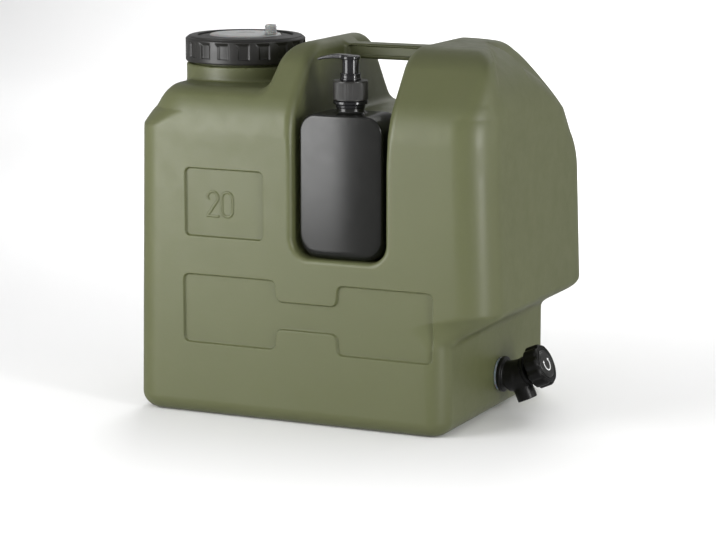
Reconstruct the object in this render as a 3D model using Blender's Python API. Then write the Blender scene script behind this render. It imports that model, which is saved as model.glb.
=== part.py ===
"""Twenty litre water container with a screw cap, a tap and a soap pump bottle in its pocket.

Units are metres and +Z is up. The origin is the middle of the tank's base: +X points to the
tap's end and -Y to the front, where the bottle stands. Sizes are written in millimetres and
multiplied by MM.
"""
import math

import bmesh
import bpy
import numpy as np
from mathutils import Vector

MM = 0.001
DEG = math.pi / 180

# Clearances
SEAT_GAP = 0.3 * MM
RUN_GAP = 0.4 * MM
OVERSHOOT = 2 * MM
SMALL_EDGE = 1 * MM
FAR = 50 * MM

# Tank: outer walls
TANK_HALF_DEPTH = 124 * MM
TANK_LEFT = -155.2 * MM
TANK_LEFT_DRAFT = 0.019
TANK_RIGHT = 154 * MM
TANK_HEIGHT = 337 * MM
TANK_WALL = 2.5 * MM
BASE_FILLET = 15 * MM
TOP_FILLET = 18 * MM
LEFT_RADIUS = 26.5 * MM
LOWER_RIGHT_RADIUS = 19 * MM
UPPER_RIGHT_RADIUS = 33 * MM
CORNER_STEPS = 4

# Tank: overhang above the tap
OVERHANG = 42 * MM
OVERHANG_START = 78 * MM
OVERHANG_RISE = 34 * MM
OVERHANG_DRAFT = 0.035
OVERHANG_STEPS = 6

# Tank: shoulders, each a start height, a bend radius and a slope from the vertical
FRONT_SHOULDER_DROP = 80.7 * MM
BACK_SHOULDER_DROP = 124.2 * MM
SHOULDER_BEND = 60 * MM
FRONT_SHOULDER = (TANK_HEIGHT - FRONT_SHOULDER_DROP, SHOULDER_BEND, 38 * DEG)
BACK_SHOULDER = (TANK_HEIGHT - BACK_SHOULDER_DROP, SHOULDER_BEND, 35.5 * DEG)
LEFT_ROUND = 30 * MM
END_ROUND = 60 * MM
SHOULDER_STEPS = 4
LEVEL_SPACING = 1.5 * MM

# Tank: upright corners that widen or tighten over the shoulders: start, rate and limit
FRONT_LEFT_DROP = 75 * MM
BACK_LEFT_DROP = 105 * MM
BACK_RIGHT_DROP = 65 * MM
FRONT_RIGHT_DROP = 57 * MM
FRONT_LEFT_CHANGE = (TANK_HEIGHT - FRONT_LEFT_DROP, 1.75, 24.5 * MM)
BACK_LEFT_CHANGE = (TANK_HEIGHT - BACK_LEFT_DROP, 0.9, 30 * MM)
BACK_RIGHT_CHANGE = (TANK_HEIGHT - BACK_RIGHT_DROP, 0.9, 50 * MM)
FRONT_RIGHT_CHANGE = (TANK_HEIGHT - FRONT_RIGHT_DROP, -0.4, 20 * MM)

# Tank: plateau for the cap, and the tower beside it
PLATEAU_DROP = 39.5 * MM
PLATEAU_Z = TANK_HEIGHT - PLATEAU_DROP
TOWER_LEFT = -27 * MM
TOWER_DRAFT = 0.16
TOWER_ROUND = 18 * MM
TOWER_ROUND_STEPS = 4

# Soap bottle and the pocket that holds it
BOTTLE_WIDTH = 80 * MM
BOTTLE_DEPTH = 49.5 * MM
BOTTLE_HEIGHT = 129.6 * MM
BOTTLE_X = 51.8 * MM
BOTTLE_CORNER = 6 * MM
BOTTLE_EDGE = 6 * MM
BOTTLE_FACE_CORNER = 16.5 * MM
BOTTLE_WALL = 1.4 * MM
POCKET_SIDE_GAP_LEFT = 4.8 * MM
POCKET_SIDE_GAP_RIGHT = 5.7 * MM
POCKET_BACK_GAP = 1.2 * MM
POCKET_FLOOR_DROP = 185.5 * MM
POCKET_FLOOR_Z = TANK_HEIGHT - POCKET_FLOOR_DROP
POCKET_CORNER = 17 * MM
BOTTLE_SETBACK = 3.3 * MM
SADDLE_DROP = 69 * MM
SADDLE_Z = TANK_HEIGHT - SADDLE_DROP
SADDLE_ROUND = 22 * MM
SADDLE_SLOPE = 0.012

# Carrying bar
HANDLE_DROP = 19.3 * MM
HANDLE_BOTTOM_Z = TANK_HEIGHT - HANDLE_DROP
HANDLE_HEIGHT = 13.5 * MM
HANDLE_DEPTH = 24 * MM
HANDLE_Y = 0 * MM
HANDLE_CHAMFER = 3 * MM

# Recessed panels on the front
PANEL_DEPTH = 1.2 * MM
SMALL_PANEL = (-98.5 * MM, -21.3 * MM, 0.4884 * TANK_HEIGHT, 0.6697 * TANK_HEIGHT)
SMALL_PANEL_CORNER = 4.5 * MM
LONG_PANEL = (-101 * MM, 142.5 * MM, 0.1994 * TANK_HEIGHT, 0.3843 * TANK_HEIGHT)
LONG_PANEL_WAIST = (-8.2 * MM, 53 * MM, 0.2552 * TANK_HEIGHT, 0.3285 * TANK_HEIGHT)
LONG_PANEL_SLANT = 5.3 * MM

# Neck and cap
NECK_X = -90 * MM
NECK_Y = -20 * MM
CAP_RADIUS = 55 * MM
CAP_SKIRT = 4.5 * MM
CAP_SHELF = 11 * MM
NECK_COLLAR_HEIGHT = 13.5 * MM
NECK_COLLAR_DROP = 16 * MM
NECK_WALL = 4 * MM
NECK_HEIGHT = 30.2 * MM
NECK_LEDGE = 1 * MM
NECK_THREAD_DROP = 2.5 * MM
NECK_SEGMENTS = 36
CAP_PITCH = 6 * MM
CAP_THREAD_TURNS = 1.5
THREAD_DEPTH = 1.5 * MM
THREAD_ROOT_WIDTH = 2.4 * MM
THREAD_CREST_WIDTH = 1.2 * MM
THREAD_ROOT = 0.6 * MM
CAP_SKIRT_GAP = 1.8 * MM
CAP_WALL_GAP = 0.6 * MM
CAP_EDGE = 2.2 * MM
CAP_DECK = 3.6 * MM
CAP_CROWN = 1.3 * MM
DISC_RECESS = 1.9 * MM
FLUTE_COUNT = 18
FLUTE_DEPTH = 1.7 * MM
FLUTE_SHARE = 0.56
FLUTE_MARGIN = 2.6 * MM
FLUTE_HEIGHT = 17 * MM
GASKET_THICKNESS = 2 * MM
DISC_FLANGE = 2 * MM
NOZZLE_RADIUS = 5.5 * MM
NOZZLE_BORE_RADIUS = 3 * MM
NOZZLE_EDGE_GAP = 2 * MM
NOZZLE_RISE = 10.5 * MM
NOZZLE_FLANGE_RADIUS = 9 * MM
NOZZLE_FLANGE = 1.6 * MM
NOZZLE_WASHER = 1.2 * MM
NOZZLE_RIBS = 3
NOZZLE_RIB = 0.8 * MM

# Tap: the barrel leans back, so its knob looks up and its spout points outward
TAP_Y = 5 * MM
TAP_Z = 35 * MM
TAP_TILT = 24 * DEG
TAP_REACH = 18 * MM
TAP_RISE = 1 * MM
FLANGE_RADIUS = 16.3 * MM
FLANGE_THICKNESS = 4 * MM
TAIL_RADIUS = 9.5 * MM
TAIL_BORE_RADIUS = 5.5 * MM
TAIL_LENGTH = 18 * MM
WASHER_THICKNESS = 2 * MM
WASHER_RADIUS = 15 * MM
LOCK_NUT_RADIUS = 15 * MM
LOCK_NUT_THICKNESS = 7 * MM
BARREL_RADIUS = 13 * MM
BARREL_BORE_RADIUS = 8 * MM
BARREL_INNER_END = -12 * MM
BARREL_OUTER_END = 8.5 * MM
VALVE_SEAT = -8 * MM
VALVE_PORT_RADIUS = 4 * MM
SPOUT_RADIUS = 8 * MM
SPOUT_BORE_RADIUS = 5.8 * MM
SPOUT_LENGTH = 24.3 * MM
SEAL_RADIUS = 6.5 * MM
SEAL_THICKNESS = 2.5 * MM
STEM_RADIUS = 3 * MM
STEM_HEAD_RADIUS = 5.5 * MM
STEM_HEAD = 2 * MM
BONNET_RADIUS = 13.5 * MM
BONNET_CAP = 3 * MM
BONNET_PLUG = 4 * MM
O_RING_WIDTH = 1.6 * MM
KNOB_FACE = 29.8 * MM
KNOB_THICKNESS = 13.5 * MM
KNOB_RADIUS = 19.5 * MM
KNOB_LOBES = 10
KNOB_SCALLOP = 1.4 * MM
KNOB_WEB = 4.5 * MM
KNOB_BOSS_RADIUS = 6 * MM
KNOB_WALL = 2.2 * MM
KNOB_EDGE = 1.8 * MM
KNOB_COVER_RADIUS = 13.5 * MM
KNOB_COVER = 1.6 * MM
KNOB_COVER_RECESS = 1.1 * MM
KNOB_SCREW_RADIUS = 1.5 * MM
KNOB_SCREW_HEAD_RADIUS = 3.2 * MM
KNOB_SCREW_HEAD = 2 * MM
KNOB_SCREW_LENGTH = 9 * MM

# Soap pump
BOTTLE_NECK_RADIUS = 12.3 * MM
BOTTLE_NECK_BORE = 10.5 * MM
BOTTLE_NECK_HEIGHT = 20.4 * MM
NECK_RING_RADIUS = 15.3 * MM
NECK_RING_BASE = 6.8 * MM
NECK_RING_HEIGHT = 2.4 * MM
BOTTLE_PITCH = 4.2 * MM
BOTTLE_THREAD_TURNS = 1.25
BOTTLE_THREAD_DEPTH = 0.9 * MM
PUMP_GASKET = 1 * MM
HOUSING_FLANGE_RADIUS = 12.2 * MM
HOUSING_FLANGE = 1.6 * MM
HOUSING_WIDE_RADIUS = 10.1 * MM
HOUSING_WIDE_BORE = 9.3 * MM
HOUSING_WIDE_DEPTH = 15 * MM
HOUSING_RADIUS = 7 * MM
HOUSING_BORE = 6 * MM
HOUSING_LENGTH = 36 * MM
BALL_RADIUS = 2.5 * MM
BALL_PORT_RADIUS = 1.7 * MM
SOCKET_LENGTH = 9 * MM
DIP_TUBE_RADIUS = 3.2 * MM
DIP_TUBE_BORE = 2 * MM
DIP_TUBE_FOOT_GAP = 4 * MM
COLLAR_RADIUS = 15.3 * MM
COLLAR_HEIGHT = 17.3 * MM
COLLAR_TOP = 3 * MM
COLLAR_RIBS = 32
COLLAR_RIB = 0.45 * MM
CHAPLET_RADIUS = 9 * MM
CHAPLET_BORE = 7.8 * MM
CHAPLET_RING_RADIUS = 9.3 * MM
CHAPLET_RING_HEIGHT = 6 * MM
CHAPLET_FLOOR = 1.5 * MM
SHROUD_RADIUS = 7.4 * MM
SHROUD_BORE = 6.2 * MM
SHROUD_ENTRY = 2.2 * MM
PUMP_STROKE = 11 * MM
PUMP_STEM_RADIUS = 3.2 * MM
PUMP_STEM_BORE = 1.9 * MM
PISTON_HEIGHT = 8 * MM
SPRING_RADIUS = 4.75 * MM
SPRING_WIRE = 0.9 * MM
SPRING_TURNS = 7
HEAD_REST_GAP = 1 * MM
HEAD_RADIUS = 8.6 * MM
HEAD_HEIGHT = 3.2 * MM
HEAD_EDGE = 1.5 * MM
BEAK_LENGTH = 29.5 * MM
BEAK_TURN = 8 * DEG

ROUND_SEGMENTS = 24
SMALL_SEGMENTS = 18


# Materials


def make_material(name, colour, roughness, metallic=0.0):
    """A Principled material of one colour."""
    material = bpy.data.materials.new(name)
    material.use_nodes = True
    shader = material.node_tree.nodes["Principled BSDF"]
    shader.inputs["Base Color"].default_value = (*colour, 1.0)
    shader.inputs["Roughness"].default_value = roughness
    shader.inputs["Metallic"].default_value = metallic
    material.diffuse_color = (*colour, 1.0)
    return material


OLIVE = (0.155, 0.165, 0.085)
BLACK = (0.012, 0.012, 0.013)
GREY = (0.035, 0.036, 0.038)
PALE = (0.72, 0.75, 0.76)
RUBBER = (0.05, 0.05, 0.052)
STEEL = (0.55, 0.56, 0.57)


# Mesh helpers


def new_object(name, mesh_builder, colour, roughness, metallic=0.0, smooth=True):
    """Turn a finished bmesh into a named object with its own material."""
    bmesh.ops.recalc_face_normals(mesh_builder, faces=mesh_builder.faces)
    mesh = bpy.data.meshes.new(name)
    mesh_builder.to_mesh(mesh)
    mesh_builder.free()
    mesh.materials.append(make_material(name, colour, roughness, metallic))
    if smooth:
        mesh.shade_smooth()
        mesh.set_sharp_from_angle(angle=35 * DEG)
    part = bpy.data.objects.new(name, mesh)
    bpy.context.scene.collection.objects.link(part)
    return part


def loft(rings):
    """Join rings of equally many points into a skin, capped at both ends."""
    skin = bmesh.new()
    rows = [[skin.verts.new(point) for point in ring] for ring in rings]
    count = len(rows[0])
    for low, high in zip(rows, rows[1:]):
        for i in range(count):
            j = (i + 1) % count
            skin.faces.new((low[i], low[j], high[j], high[i]))
    skin.faces.new(list(reversed(rows[0])))
    skin.faces.new(rows[-1])
    return skin


def turned(profile, segments):
    """Turn a closed (radius, height) outline around Z; points on the axis become poles."""
    body = bmesh.new()
    rows = []
    for radius, height in profile:
        if radius == 0:
            rows.append([body.verts.new((0, 0, height))])
            continue
        rows.append([
            body.verts.new((radius * math.cos(a), radius * math.sin(a), height))
            for a in np.linspace(0, 2 * math.pi, segments, endpoint=False)
        ])
    for first, second in zip(rows, rows[1:] + rows[:1]):
        if len(first) == 1 and len(second) == 1:
            continue
        for i in range(segments):
            j = (i + 1) % segments
            corners = [first[i % len(first)], first[j % len(first)]]
            corners += [second[j % len(second)], second[i % len(second)]]
            corners = list(dict.fromkeys(corners))
            body.faces.new(corners)
    return body


def tube_profile(inner, outer, low, high):
    """Outline of a plain ring or sleeve."""
    return [(inner, low), (outer, low), (outer, high), (inner, high)]


def prism(outline, low, high, axis):
    """Push a flat outline along an axis: X takes (y, z) points and Y takes (x, z) points."""
    def place(point, reach):
        if axis == "X":
            return Vector((reach, point[0], point[1]))
        if axis == "Y":
            return Vector((point[0], reach, point[1]))
        return Vector((point[0], point[1], reach))
    return loft([[place(p, reach) for p in outline] for reach in (low, high)])


def arc_points(centre, radius, start, end, steps):
    """Points along an arc, both ends included."""
    angles = np.linspace(start, end, steps + 1)
    return [(centre[0] + radius * math.cos(a), centre[1] + radius * math.sin(a)) for a in angles]


def rounded_outline(x0, x1, y0, y1, radii, steps):
    """Rounded rectangle, anticlockwise from its front right corner."""
    front_right, back_right, back_left, front_left = radii
    corners = (
        ((x1 - front_right, y0 + front_right), front_right, -90),
        ((x1 - back_right, y1 - back_right), back_right, 0),
        ((x0 + back_left, y1 - back_left), back_left, 90),
        ((x0 + front_left, y0 + front_left), front_left, 180),
    )
    points = []
    for centre, radius, start in corners:
        points += arc_points(centre, radius, start * DEG, (start + 90) * DEG, steps)
    return points


def cutter(name, mesh_builder):
    """A guide body that shapes another and is no part of the object."""
    bmesh.ops.recalc_face_normals(mesh_builder, faces=mesh_builder.faces)
    mesh = bpy.data.meshes.new(name)
    mesh_builder.to_mesh(mesh)
    mesh_builder.free()
    guide = bpy.data.objects.new(name, mesh)
    guide.hide_render = True
    guide.display_type = "WIRE"
    bpy.context.scene.collection.objects.link(guide)
    return guide


def combine(part, tool, operation):
    """Add a Boolean that joins or cuts with the tool, by Blender's exact solver."""
    modifier = part.modifiers.new(operation.lower() + "_" + tool.name, "BOOLEAN")
    modifier.operation = operation
    modifier.solver = "EXACT"
    modifier.object = tool
    if tool.parent is None:
        tool.parent = part.parent
    return modifier


def aim(part, location, axis):
    """Put a part made along Z at a place, with its Z along an axis in the XZ plane."""
    part.location = location
    part.rotation_euler = (0, math.atan2(axis[0], axis[2]), 0)


def thread_ridge(root_radius, depth, pitch, turns, start_z, inward, steps_per_turn):
    """One helical ridge standing on a cylinder, outward or inward, with tapered flanks."""
    side = -1 if inward else 1
    steps = int(round(turns * steps_per_turn))
    ridge = bmesh.new()
    rows = []
    for step in range(steps + 1):
        angle = step * turns * 2 * math.pi / steps
        middle = start_z + pitch * angle / (2 * math.pi)
        section = (
            (root_radius - side * THREAD_ROOT, -THREAD_ROOT_WIDTH / 2),
            (root_radius + side * depth, -THREAD_CREST_WIDTH / 2),
            (root_radius + side * depth, THREAD_CREST_WIDTH / 2),
            (root_radius - side * THREAD_ROOT, THREAD_ROOT_WIDTH / 2),
        )
        rows.append([
            ridge.verts.new((r * math.cos(angle), r * math.sin(angle), middle + z))
            for r, z in section
        ])
    for low, high in zip(rows, rows[1:]):
        for i in range(len(low)):
            j = (i + 1) % len(low)
            ridge.faces.new((low[i], low[j], high[j], high[i]))
    ridge.faces.new(list(reversed(rows[0])))
    ridge.faces.new(rows[-1])
    return ridge


# Tank profiles


def shoulder_inset(z, shoulder):
    """How far a wall has leaned inward at a height: upright, then an arc, then a slope."""
    start, radius, slope = shoulder
    rise = z - start
    if rise <= 0:
        return 0.0
    if rise < radius * math.sin(slope):
        return radius - math.sqrt(radius ** 2 - rise ** 2)
    return radius * (1 - math.cos(slope)) + (rise - radius * math.sin(slope)) * math.tan(slope)


def fillet_inset(distance, radius):
    """Inset of a quarter-round edge at a distance from its end face."""
    reach = max(0.0, min(radius, distance))
    return radius - math.sqrt(radius ** 2 - (radius - reach) ** 2)


def overhang_reach(z):
    """How far the right end stands past the lower wall: an S curve, then a slight draft."""
    rise = min(1.0, max(0.0, (z - OVERHANG_START) / OVERHANG_RISE))
    swell = OVERHANG * (1 - math.cos(math.pi * rise)) / 2
    above = max(0.0, z - OVERHANG_START - OVERHANG_RISE)
    return swell - OVERHANG_DRAFT * above


def end_inset(z):
    """Inset of the right end's quarter round under the top."""
    return fillet_inset(TANK_HEIGHT - z, END_ROUND)


def corner_change(z, change):
    """How much an upright corner's radius has grown or shrunk at a height."""
    start, rate, limit = change
    return max(-limit, min(limit, rate * max(0.0, z - start)))


def tank_ring(z, inset):
    """The tank's outline at a height, moved inward by a wall's thickness for the hollow."""
    edge = fillet_inset(z, BASE_FILLET)
    top = fillet_inset(TANK_HEIGHT - z, TOP_FILLET)
    left = TANK_LEFT + TANK_LEFT_DRAFT * z + fillet_inset(PLATEAU_Z - z, LEFT_ROUND) + edge
    right = TANK_RIGHT + overhang_reach(z) - end_inset(z) - edge
    front = -TANK_HALF_DEPTH + shoulder_inset(z, FRONT_SHOULDER) + edge + top
    back = TANK_HALF_DEPTH - shoulder_inset(z, BACK_SHOULDER) - edge - top
    swell = overhang_reach(z) / OVERHANG
    right_radius = LOWER_RIGHT_RADIUS + (UPPER_RIGHT_RADIUS - LOWER_RIGHT_RADIUS) * swell
    radii = (
        right_radius + corner_change(z, FRONT_RIGHT_CHANGE),
        right_radius + corner_change(z, BACK_RIGHT_CHANGE),
        LEFT_RADIUS + corner_change(z, BACK_LEFT_CHANGE),
        LEFT_RADIUS + corner_change(z, FRONT_LEFT_CHANGE),
    )
    radii = [min(radius, (back - front) / 2.2) - inset for radius in radii]
    outline = rounded_outline(left + inset, right - inset, front + inset, back - inset,
                              radii, CORNER_STEPS)
    return outline


def tank_levels():
    """Heights of the tank's rings: close together where its walls bend."""
    levels = {BASE_FILLET * (1 - math.cos(a)) for a in np.linspace(0, math.pi / 2, 4)}
    levels |= set(np.linspace(OVERHANG_START, OVERHANG_START + OVERHANG_RISE, OVERHANG_STEPS + 1))
    for start, radius, slope in (FRONT_SHOULDER, BACK_SHOULDER):
        levels |= {start + radius * math.sin(a) for a in np.linspace(0, slope, SHOULDER_STEPS)}
    levels |= {FRONT_LEFT_CHANGE[0], FRONT_LEFT_CHANGE[0] + FRONT_LEFT_CHANGE[2] / FRONT_LEFT_CHANGE[1]}
    bends = np.linspace(0, math.pi / 2, SHOULDER_STEPS)
    levels |= {PLATEAU_Z - LEFT_ROUND * (1 - math.cos(a)) for a in bends}
    for radius in (TOP_FILLET, END_ROUND):
        bends = np.linspace(0, math.pi / 2, SHOULDER_STEPS + 1)
        levels |= {TANK_HEIGHT - radius * (1 - math.cos(a)) for a in bends}
    spread = sorted(levels)
    kept = [spread[0]]
    for level in spread[1:-1]:
        if level - kept[-1] > LEVEL_SPACING and spread[-1] - level > LEVEL_SPACING / 2:
            kept.append(level)
    return kept + [spread[-1]]


def tank_block(inset):
    """The tank without its pocket, plateau or neck; an inset makes the hollow inside it."""
    rings = []
    for z in tank_levels():
        height = min(max(z, inset), TANK_HEIGHT - inset)
        rings.append([Vector((x, y, height)) for x, y in tank_ring(z, inset)])
    return loft([ring for i, ring in enumerate(rings)
                 if i == 0 or ring[0].z - rings[i - 1][0].z > 0.1 * MM])


POCKET_LEFT = BOTTLE_X - BOTTLE_WIDTH / 2 - POCKET_SIDE_GAP_LEFT
POCKET_RIGHT = BOTTLE_X + BOTTLE_WIDTH / 2 + POCKET_SIDE_GAP_RIGHT
BOTTLE_FRONT = -TANK_HALF_DEPTH + BOTTLE_SETBACK
BOTTLE_BACK = BOTTLE_FRONT + BOTTLE_DEPTH
POCKET_BACK = BOTTLE_BACK + POCKET_BACK_GAP


# Heights of the neck and cap, from the plateau up
COLLAR_TOP_Z = PLATEAU_Z + NECK_COLLAR_HEIGHT
NECK_TOP_Z = PLATEAU_Z + NECK_HEIGHT
NECK_COLLAR_RADIUS = CAP_RADIUS - SMALL_EDGE
CAP_INNER_RADIUS = CAP_RADIUS - CAP_SKIRT
NECK_RADIUS = CAP_INNER_RADIUS - CAP_WALL_GAP - THREAD_DEPTH
NECK_BORE_RADIUS = NECK_RADIUS - NECK_WALL
CAP_OPENING_RADIUS = NECK_BORE_RADIUS - CAP_SHELF
NOZZLE_OFFSET = CAP_OPENING_RADIUS - NOZZLE_EDGE_GAP - NOZZLE_RADIUS
NECK_THREAD_Z = NECK_TOP_Z - NECK_THREAD_DROP - CAP_PITCH * CAP_THREAD_TURNS
GASKET_Z = NECK_TOP_Z + SEAT_GAP
DISC_Z = GASKET_Z + GASKET_THICKNESS + SEAT_GAP
DECK_Z = DISC_Z + DISC_FLANGE + SEAT_GAP
CAP_TOP_Z = DECK_Z + CAP_DECK
CAP_CROWN_Z = CAP_TOP_Z + CAP_CROWN
DISC_TOP_Z = CAP_CROWN_Z - DISC_RECESS
CAP_LOW_Z = COLLAR_TOP_Z + CAP_SKIRT_GAP


def pocket_cutter(grow):
    """Space between the towers: the bottle's pocket below, the hand gap above."""
    floor = POCKET_FLOOR_Z - grow
    beyond = TANK_HALF_DEPTH + FAR
    corner = POCKET_CORNER + grow
    back = POCKET_BACK + grow
    bend = SADDLE_ROUND - grow
    saddle = SADDLE_Z - grow
    rows = []
    for a in np.linspace(0, math.pi / 2, 5):
        narrow = corner * (1 - math.sin(a))
        rows.append((floor + corner * (1 - math.cos(a)), narrow, back))
    for a in np.linspace(0, math.pi / 2, 5):
        rows.append((saddle - bend + bend * math.sin(a), 0, back + bend * (1 - math.cos(a))))
    rows.append((saddle + SADDLE_SLOPE * beyond, 0, beyond))
    rows.append((TANK_HEIGHT + FAR, 0, beyond))
    rings = []
    for z, narrow, deep in rows:
        left = POCKET_LEFT - grow + narrow
        right = POCKET_RIGHT + grow - narrow
        corners = ((left, -beyond), (right, -beyond), (right, deep), (left, deep))
        rings.append([Vector((x, y, z)) for x, y in corners])
    return loft(rings)


def plateau_cutter(grow):
    """Space over the plateau, left of the left tower and its rounded top."""
    floor = PLATEAU_Z - grow
    beyond = TANK_HALF_DEPTH + FAR
    left = TANK_LEFT - FAR
    bend_start = TANK_HEIGHT - TOWER_ROUND
    lean = TOWER_DRAFT * (bend_start - PLATEAU_Z)
    outline = [(left, floor), (TOWER_LEFT + grow, floor)]
    centre = (TOWER_LEFT + lean + TOWER_ROUND, bend_start)
    outline += arc_points(centre, TOWER_ROUND - grow, math.pi, math.pi / 2, TOWER_ROUND_STEPS)
    outline += [(centre[0], TANK_HEIGHT + FAR), (left, TANK_HEIGHT + FAR)]
    return prism(outline, -beyond, beyond, "Y")


def handle_bar(inset, reach):
    """The carrying bar between the towers, with chamfered long edges."""
    half = HANDLE_DEPTH / 2 - inset
    low = HANDLE_BOTTOM_Z + inset
    high = HANDLE_BOTTOM_Z + HANDLE_HEIGHT - inset
    cut = HANDLE_CHAMFER - inset / 2
    outline = [
        (HANDLE_Y - half + cut, low), (HANDLE_Y + half - cut, low), (HANDLE_Y + half, low + cut),
        (HANDLE_Y + half, high - cut), (HANDLE_Y + half - cut, high),
        (HANDLE_Y - half + cut, high), (HANDLE_Y - half, high - cut), (HANDLE_Y - half, low + cut),
    ]
    return prism(outline, POCKET_LEFT - reach, POCKET_RIGHT + reach, "X")


def small_panel():
    """Outline of the nearly square panel that carries the capacity."""
    x0, x1, z0, z1 = SMALL_PANEL
    return rounded_outline(x0, x1, z0, z1, [SMALL_PANEL_CORNER] * 4, 3)


def long_panel():
    """Outline of the long panel with a narrow waist."""
    x0, x1, z0, z1 = LONG_PANEL
    w0, w1, v0, v1 = LONG_PANEL_WAIST
    s = LONG_PANEL_SLANT
    return [
        (x0, z0), (w0 - s, z0), (w0, v0), (w1, v0), (w1 + s, z0), (x1, z0),
        (x1, z1), (w1 + s, z1), (w1, v1), (w0, v1), (w0 - s, z1), (x0, z1),
    ]


def make_tank():
    """One hollow blow-moulding with its neck, tap hole, pocket and carrying bar."""
    tank = new_object("tank_body", tank_block(0), OLIVE, 0.42)
    hollow = cutter("tank_hollow", tank_block(TANK_WALL))
    combine(tank, cutter("pocket_space", pocket_cutter(0)), "DIFFERENCE")
    combine(tank, cutter("plateau_space", plateau_cutter(0)), "DIFFERENCE")
    combine(tank, cutter("handle_outside", handle_bar(0, TANK_WALL / 2)), "UNION")
    neck = cutter("neck_outside", turned([
        (0, PLATEAU_Z - NECK_COLLAR_DROP), (NECK_COLLAR_RADIUS, PLATEAU_Z - NECK_COLLAR_DROP),
        (NECK_COLLAR_RADIUS, COLLAR_TOP_Z), (NECK_RADIUS, COLLAR_TOP_Z + NECK_LEDGE),
        (NECK_RADIUS, NECK_TOP_Z), (0, NECK_TOP_Z),
    ], NECK_SEGMENTS))
    neck.location = (NECK_X, NECK_Y, 0)
    combine(tank, neck, "UNION")
    thread = cutter("neck_thread", thread_ridge(
        NECK_RADIUS, THREAD_DEPTH, CAP_PITCH, CAP_THREAD_TURNS, NECK_THREAD_Z, False,
        NECK_SEGMENTS))
    thread.location = (NECK_X, NECK_Y, 0)
    combine(tank, thread, "UNION")
    for name, outline in (("small_panel", small_panel()), ("long_panel", long_panel())):
        panel = prism(outline, -TANK_HALF_DEPTH - OVERSHOOT, -TANK_HALF_DEPTH + PANEL_DEPTH, "Y")
        combine(tank, cutter(name, panel), "DIFFERENCE")
    combine(hollow, cutter("pocket_wall", pocket_cutter(TANK_WALL)), "DIFFERENCE")
    combine(hollow, cutter("plateau_wall", plateau_cutter(TANK_WALL)), "DIFFERENCE")
    combine(hollow, cutter("handle_inside", handle_bar(TANK_WALL, 3 * TANK_WALL)), "UNION")
    wide_bore = NECK_COLLAR_RADIUS - NECK_WALL + NECK_LEDGE
    bore = cutter("neck_bore", turned([
        (0, PLATEAU_Z - NECK_COLLAR_DROP - OVERSHOOT),
        (wide_bore, PLATEAU_Z - NECK_COLLAR_DROP - OVERSHOOT), (wide_bore, COLLAR_TOP_Z - NECK_WALL),
        (NECK_BORE_RADIUS, COLLAR_TOP_Z), (NECK_BORE_RADIUS, NECK_TOP_Z + OVERSHOOT),
        (0, NECK_TOP_Z + OVERSHOOT),
    ], NECK_SEGMENTS))
    bore.location = (NECK_X, NECK_Y, 0)
    combine(hollow, bore, "UNION")
    hole = cutter("tap_hole", turned([
        (0, -3 * TANK_WALL), (TAIL_RADIUS + SEAT_GAP, -3 * TANK_WALL),
        (TAIL_RADIUS + SEAT_GAP, OVERSHOOT), (0, OVERSHOOT),
    ], ROUND_SEGMENTS))
    aim(hole, (TANK_RIGHT, TAP_Y, TAP_Z), (1, 0, 0))
    combine(hollow, hole, "UNION")
    combine(tank, hollow, "DIFFERENCE")
    return tank


# Cap


def wavy_ring(radius, depth, count, share, per_wave, z):
    """A round ring whose radius drops by a depth over a share of each wave."""
    points = []
    for i in range(count * per_wave):
        phase = (i % per_wave + 0.5) / per_wave
        reach = radius - (depth if abs(phase - 0.5) < share / 2 else 0)
        angle = 2 * math.pi * i / (count * per_wave)
        points.append(Vector((reach * math.cos(angle), reach * math.sin(angle), z)))
    return points


def make_cap_ring():
    """The screw ring: a fluted skirt, a top that rises to its round opening, and one thread."""
    flute_low = CAP_LOW_Z + FLUTE_MARGIN
    flute_high = flute_low + FLUTE_HEIGHT
    skin = [
        (CAP_RADIUS - CAP_EDGE / 2, 0, CAP_LOW_Z),
        (CAP_RADIUS, 0, CAP_LOW_Z + CAP_EDGE / 2),
        (CAP_RADIUS, 0, flute_low),
        (CAP_RADIUS, FLUTE_DEPTH, flute_low + FLUTE_DEPTH / 4),
        (CAP_RADIUS, FLUTE_DEPTH, flute_high - FLUTE_DEPTH),
        (CAP_RADIUS - CAP_EDGE / 3, 0, flute_high),
        (CAP_RADIUS - CAP_EDGE, 0, CAP_TOP_Z - CAP_EDGE / 3),
        (CAP_RADIUS - 2 * CAP_EDGE, 0, CAP_TOP_Z),
        (CAP_OPENING_RADIUS + CAP_EDGE / 2, 0, CAP_CROWN_Z),
    ]
    rings = [wavy_ring(r, depth, FLUTE_COUNT, FLUTE_SHARE, 4, z) for r, depth, z in skin]
    cap = new_object("cap_ring", loft(rings), BLACK, 0.45)
    cap.location = (NECK_X, NECK_Y, 0)
    bore = cutter("cap_bore", turned([
        (0, CAP_LOW_Z - OVERSHOOT), (CAP_INNER_RADIUS, CAP_LOW_Z - OVERSHOOT),
        (CAP_INNER_RADIUS, DECK_Z), (CAP_OPENING_RADIUS, DECK_Z),
        (CAP_OPENING_RADIUS, CAP_CROWN_Z + OVERSHOOT), (0, CAP_CROWN_Z + OVERSHOOT),
    ], NECK_SEGMENTS))
    bore.location = cap.location
    combine(cap, bore, "DIFFERENCE")
    thread = cutter("cap_thread", thread_ridge(
        CAP_INNER_RADIUS, THREAD_DEPTH, CAP_PITCH, CAP_THREAD_TURNS - 0.25,
        NECK_THREAD_Z + CAP_PITCH / 2, True, NECK_SEGMENTS))
    thread.location = cap.location
    combine(cap, thread, "UNION")
    return cap


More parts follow.
